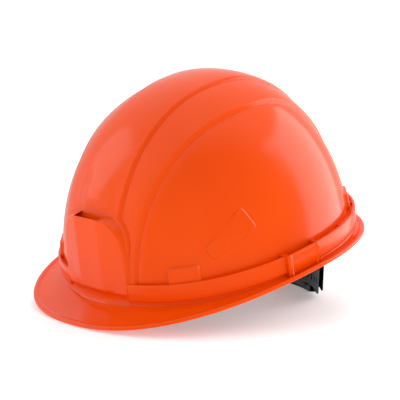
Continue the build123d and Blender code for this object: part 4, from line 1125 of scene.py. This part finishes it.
@dataclass(frozen=True)
class Lining:
    """Sweatband, crown pad, nape pad and the three crown straps.

    The pads are crowned closed forms that swell from their sewn edges; the straps are flat webbing.
    """

    head_ahead: float = 8.0
    band_half: tuple[float, float] = (73.4, 95.9)
    band_thickness: float = 4.0
    band_levels: tuple[float, float] = (-4.0, 32.0)
    band_reach: float = 72.0
    pad_radius: float = 26.0
    pad_top: float = 93.7
    pad_thickness: float = 4.0
    nape_inside: float = 75.9
    nape_thickness: float = 4.0
    nape_levels: tuple[float, float] = (3.0, 29.0)
    nape_reach: float = 26.0
    webbing: tuple[float, float] = (20.0, 1.2)
    webbing_setback: float = 10.6
    spring: float = 8.0
    tail: float = 1.0
    rise: float = 86.0
    spacing: float = 1.4
    crossing: float = 24.0
    weave_radius: float = 85.0
    fill: float = 0.6

    def pillow(self, across: np.ndarray, along: np.ndarray) -> np.ndarray:
        """Fullness of a pad at places from -1 to 1: full in the middle, with a sewn channel near its edge."""
        inset = np.maximum(np.abs(across), np.abs(along))
        full = (1 - inset ** 6) ** 0.5
        channel = np.exp(-((np.abs(across) - 0.8) / 0.045) ** 2)
        return full * (1 - 0.35 * channel)

    def sweatband(self) -> bpy.types.Object:
        """Build the sweatband: an oval wall round the brow whose two faces swell from its sewn edges."""
        turn, up = np.linspace(-1, 1, 220), np.linspace(-1, 1, 34)
        turn, up = np.meshgrid(turn, up, indexing="ij")
        swing = np.radians(self.band_reach) * turn
        half_x, half_y = (half - self.band_thickness / 2 for half in self.band_half)
        x, y = np.sin(swing), -np.cos(swing)
        reach = 1 / np.hypot(x / half_x, y / half_y)
        swell = self.band_thickness / 2 * self.pillow(up, turn)
        low, high = self.band_levels
        z = (low + high) / 2 + up * (high - low) / 2
        grids = []
        for face in (1, -1):
            r = reach + face * swell
            grids.append(STANCE.place(np.stack([r * x, r * y - self.head_ahead, z], -1)))
        piece = slab("sweatband_lining", *grids)
        self.unwrap(piece, Wrap.BAND)
        return piece

    def crown_pad(self) -> bpy.types.Object:
        """Build the crown pad: a round cushion with a sewn ring, thin at its edge."""
        radius = np.concatenate([np.linspace(0.03, 0.94, 22), np.cos(np.linspace(0.34, 0, 8))])
        turn = np.linspace(0, 2 * math.pi, 96, endpoint=False)
        rings = []
        for face in (1, -1):
            for r in radius if face > 0 else radius[::-1]:
                height = face * self.pad_thickness / 2 * float(self.pillow(np.array(r), np.array(0.0)))
                level = self.pad_top - self.pad_thickness / 2 + height
                rings.append(np.column_stack([r * self.pad_radius * np.cos(turn),
                                              r * self.pad_radius * np.sin(turn) - self.head_ahead,
                                              np.full(len(turn), level)]))
        piece = loft("crown_pad_lining", STANCE.place(np.array(rings)))
        self.unwrap(piece, Wrap.FLAT)
        return piece

    def nape_pad(self) -> bpy.types.Object:
        """Build the nape pad: part of an upright tube about the nape axis, swollen from its sewn edges."""
        turn, up = np.meshgrid(np.linspace(-1, 1, 90), np.linspace(-1, 1, 30), indexing="ij")
        bow = 1 - 0.1 * np.abs(turn) ** 4
        swing = np.radians(self.nape_reach) * turn
        low, high = self.nape_levels
        z = (low + high) / 2 + up * bow * (high - low) / 2
        grids = []
        for face in (1, -1):
            r = self.nape_inside + self.nape_thickness / 2 + face * self.nape_thickness / 2 * self.pillow(up, turn)
            grids.append(np.stack([r * np.sin(swing), STANCE.nape_y + r * np.cos(swing), z], -1) * MM)
        piece = slab("nape_pad_lining", *grids)
        self.unwrap(piece, Wrap.BAND)
        return piece

    def unwrap(self, piece: bpy.types.Object, wrap: Wrap) -> None:
        """Give a pad a UV map in metres: round and up for a band, or flat from above for a disc."""
        x, y, z = places(piece.data).T
        if wrap is Wrap.FLAT:
            lay_weave(piece.data, x, y)
        else:
            middle = STANCE.origin[1] * MM
            outwards = middle - y if y.mean() < middle else y - middle
            lay_weave(piece.data, np.arctan2(x, outwards) * self.weave_radius * MM, z)

    def arch(self, near: float, far: float, layer: int) -> np.ndarray:
        """Middle line of a crown strap as (reach, height): up, over two quarter ellipses and down."""
        rise = self.rise + layer * self.spacing + self.webbing[1] / 2
        quarter = np.linspace(0, math.pi / 2, 60)
        first = np.column_stack([self.crossing + (near - self.crossing) * np.cos(quarter),
                                 self.spring + rise * np.sin(quarter)])
        second = np.column_stack([-self.crossing - (far - self.crossing) * np.cos(quarter[::-1]),
                                  self.spring + rise * np.sin(quarter[::-1])])
        flat = np.linspace(first[-1], second[0], 14)[1:-1]
        foot = np.linspace((near, self.tail), (near, self.spring), 6)[:-1]
        end = np.linspace((-far, self.spring), (-far, self.tail), 6)[1:]
        return np.concatenate([foot, first, flat, second, end])

    def crown_strap(self, name: str, shell: Shell, angle: int, layer: int) -> tuple[bpy.types.Object, float]:
        """Build one strap of webbing: its flat section, thicker at the selvedges, carried along the arch.

        Args:
            name: name of the CAD node that it stands for.
            shell: the shell, which gives the reach of its wall.
            angle: angle of the hanger it starts from, round from the front.
            layer: its place in the crossing, from below.

        Returns:
            The object and the length of the strap in metres.
        """
        near = shell.wall_reach(angle, BOWL.wall) - self.webbing_setback
        far = shell.wall_reach(angle - 180 if angle > 0 else angle + 180, BOWL.wall) - self.webbing_setback
        line = self.arch(near, far, layer)
        step = np.gradient(line, axis=0)
        normal = np.stack([step[:, 1], -step[:, 0]], -1) / np.linalg.norm(step, axis=1)[:, None]
        width, thick = self.webbing
        across = np.linspace(-1, 1, 17)
        half = thick / 2 * (0.8 + 0.2 * np.exp(-((np.abs(across) - 0.9) / 0.07) ** 2))
        out, along, up = ray(angle)
        grids = []
        for face in (1, -1):
            place = line[:, None] + face * normal[:, None] * half[None, :, None]
            point = (place[..., :1] * out + across[None, :, None] * width / 2 * along
                     + place[..., 1:] * up)
            grids.append(STANCE.place(point - np.array([0.0, self.head_ahead, 0.0])))
        piece = slab(f"{name}_webbing", *grids)
        lengths = np.concatenate([[0], np.cumsum(np.linalg.norm(np.diff(line, axis=0), axis=1))])
        centre = STANCE.place(line[:, :1] * out + line[:, 1:] * up - np.array([0.0, self.head_ahead, 0.0]))
        offset = places(piece.data)[:, None].astype(float) - centre[None]
        nearest = (offset ** 2).sum(-1).argmin(1)
        side = np.einsum("ij,j->i", offset[np.arange(len(nearest)), nearest],
                         STANCE.place(along) - STANCE.place(np.zeros(3))) / MM
        lay_weave(piece.data, side, lengths[nearest] * MM)
        return piece, float(lengths[-1]) * MM

    def build(self, shell: Shell) -> None:
        for piece, node, body in ((self.sweatband(), "sweatband", "helmet"),
                                  (self.crown_pad(), "crown_pad", "helmet"),
                                  (self.nape_pad(), "nape_pad", "adjuster")):
            dress(piece, Finish.LINING, body)
            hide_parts(node)
        straps = {"crown_strap_cross_a": (36, ("hanger_front_left", "hanger_rear_right")),
                  "crown_strap_cross_b": (-36, ("hanger_front_right", "hanger_rear_left")),
                  "crown_strap_side": (90, ("hanger_side_left", "hanger_side_right"))}
        for layer, (node, (angle, hangers)) in enumerate(straps.items()):
            piece, length = self.crown_strap(node, shell, angle, layer)
            dress(piece, Finish.WEBBING)
            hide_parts(node)


# ------------------------------------------------------------------------------- moulded CAD pieces
@dataclass(frozen=True)
class Fittings:
    """The CAD pieces that keep their shape: which finish each one has."""

    harness: tuple[str, ...] = ("headband", "crown_keeper", "hanger_front_left", "hanger_front_right",
                                "hanger_side_left", "hanger_side_right", "hanger_rear_left",
                                "hanger_rear_right", "strap_left", "strap_right")
    adjuster: tuple[str, ...] = ("adjuster_back", "adjuster_cover", "knob", "swivel_pin_left",
                                 "swivel_pin_right")
    gears: tuple[str, ...] = ("pinion", "pawl_spring")
    screws: tuple[str, ...] = ("knob_screw",)

    def build(self) -> None:
        """Put each finish on its CAD nodes' material slots."""
        for names, finish in ((self.harness, Finish.HARNESS), (self.adjuster, Finish.ADJUSTER),
                              (self.gears, Finish.GEAR), (self.screws, Finish.STEEL)):
            for name in names:
                node = bpy.data.objects[name]
                for holder in node.material_slots:
                    holder.material = finish.built
                if not node.material_slots:
                    node.data.materials.append(finish.built)
                LOG.info("%s keeps its CAD shape: %s", name, finish.value.name)


# ------------------------------------------------------------------------------------------- studio
@dataclass(frozen=True)
class SoftBox:
    """Rectangular lamp turned to the helmet; only a mirrored one shows in the shell's gloss."""

    name: str
    place: tuple[float, float, float]
    size: tuple[float, float]
    power: float
    mirrored: bool

    def build(self, target: tuple[float, float, float]) -> None:
        """Hang the lamp at its place, turned to the target."""
        lamp = bpy.data.lights.new(self.name, "AREA")
        lamp.shape, lamp.energy = "RECTANGLE", self.power
        lamp.size, lamp.size_y = self.size
        holder = bpy.data.objects.new(self.name, lamp)
        toward = Vector(target) - Vector(self.place)
        holder.rotation_euler = toward.to_track_quat("-Z", "Y").to_euler()
        holder.location = self.place
        holder.visible_glossy = self.mirrored
        bpy.context.scene.collection.objects.link(holder)


@dataclass(frozen=True)
class MattePaper:
    """Uncoated white card, lit softly from below: fine fibres and no gloss."""

    name: str = "matte_paper_white"
    colour: str = "#F4F4F4"
    fibre_mm: float = 2.0  # coarser than real fibres, so that they show
    fibre_depth_mm: float = 0.02
    roughness: float = 0.9
    glow: float = 0.3

    def material(self) -> bpy.types.Material:
        """Build the material."""
        material, tree = blank(self.name)
        place = add(tree, "TexCoord").outputs["Object"]
        fibre = add(tree, "TexNoise", Vector=place, Scale=1 / (self.fibre_mm * MM), Detail=2.0)
        bump = add(tree, "Bump", {"value_1": self.fibre_depth_mm * MM}, Height=fibre.outputs["Fac"], Strength=0.5)
        shader = add(tree, "BsdfPrincipled", Normal=bump.outputs["Normal"], Base_Color=linear(self.colour),
                     Roughness=self.roughness, Emission_Color=(1, 1, 1, 1), Emission_Strength=self.glow)
        surface(tree, shader)
        return material


@dataclass(frozen=True)
class Studio:
    """Pale table, soft boxes, surroundings and the camera. Its lengths are metres."""

    camera_at: tuple[float, float, float] = (0.912683, -0.890506, 0.309517)
    right: tuple[float, float, float] = (0.69387703, 0.71935223, 0.03266559)
    up: tuple[float, float, float] = (-0.14898769, 0.09903428, 0.98386731)
    lens: float = 144.75
    table_half: float = 6.0
    target: tuple[float, float, float] = (0.0, 0.0, 0.09)
    fill: float = 0.86
    room: float = 0.03
    paper: float = 0.72
    paper_way: tuple[float, float, float] = (-0.92, 0.34, 0.2)
    paper_fade: tuple[float, float] = (-0.5, 0.05)
    boxes: tuple[SoftBox, ...] = (
        SoftBox("left", (-1.35, -0.9, 0.75), (0.8, 1.3), 3.0, True),
        SoftBox("right", (0.62, 1.45, 0.55), (1.4, 1.7), 15.5, True),
        SoftBox("overhead", (-0.6, 1.0, 1.4), (1.0, 1.0), 9.0, False),
    )

    def table(self) -> None:
        """Lay the table, which the shell's gloss does not see."""
        h = self.table_half
        corners = np.array([[-h, -h, 0], [h, -h, 0], [h, h, 0], [-h, h, 0]], float)
        table = solid_mesh("table", corners, np.array([[0, 1, 2, 3]]))
        table.data.materials.append(MattePaper().material())
        table.visible_glossy = False

    def surroundings(self) -> None:
        """Surround the table with even light, and with white paper that its gloss sees fade to a dark room."""
        world = bpy.data.worlds.new("studio")
        world.use_nodes = True
        tree = world.node_tree
        tree.nodes.clear()
        way = add(tree, "TexCoord").outputs["Generated"]
        behind = add(tree, "VectorMath", {"operation": "DOT_PRODUCT", "value_1": self.paper_way}, n0=way)
        dark, bright = self.paper_fade
        fade = add(tree, "MapRange", {"value_1": dark, "value_2": bright, "value_3": self.room,
                                      "value_4": self.paper, "interpolation_type": "SMOOTHSTEP"},
                   Value=behind.outputs["Value"])
        rays = add(tree, "LightPath").outputs
        light = add(tree, "Mix", {"value_2": self.fill}, n0=rays["Is Glossy Ray"], n3=fade.outputs["Result"])
        strength = add(tree, "Mix", {"value_3": 1.0}, n0=rays["Is Camera Ray"], n2=light.outputs["Result"])
        sky = add(tree, "Background", Color=(1, 1, 1, 1), Strength=strength.outputs["Result"])
        tree.links.new(sky.outputs["Background"], add(tree, "OutputWorld").inputs["Surface"])
        bpy.context.scene.world = world

    def camera(self) -> None:
        """Stand the camera ahead of the helmet's left side, a little above it."""
        lens = bpy.data.cameras.new("camera")
        lens.lens = self.lens
        camera = bpy.data.objects.new("camera", lens)
        right, up = Vector(self.right), Vector(self.up)
        turn = Matrix((right, up, right.cross(up))).transposed().to_4x4()
        camera.matrix_world = Matrix.Translation(Vector(self.camera_at)) @ turn
        bpy.context.scene.collection.objects.link(camera)
        bpy.context.scene.camera = camera

    def build(self) -> None:
        """Build the table, the lamps, the surroundings and the camera."""
        self.table()
        for box in self.boxes:
            box.build(self.target)
        self.surroundings()
        bpy.context.scene.view_settings.view_transform = "Standard"
        self.camera()
        LOG.info("studio stands: %d soft boxes", len(self.boxes))


def main() -> None:
    """Build the helmet and the studio."""
    logging.basicConfig(level=logging.INFO, format="%(name)s: %(message)s")
    shell = Shell()
    shell.build()
    Lining().build(shell)
    Fittings().build()
    Studio().build()


if __name__ == "__main__":
    main()
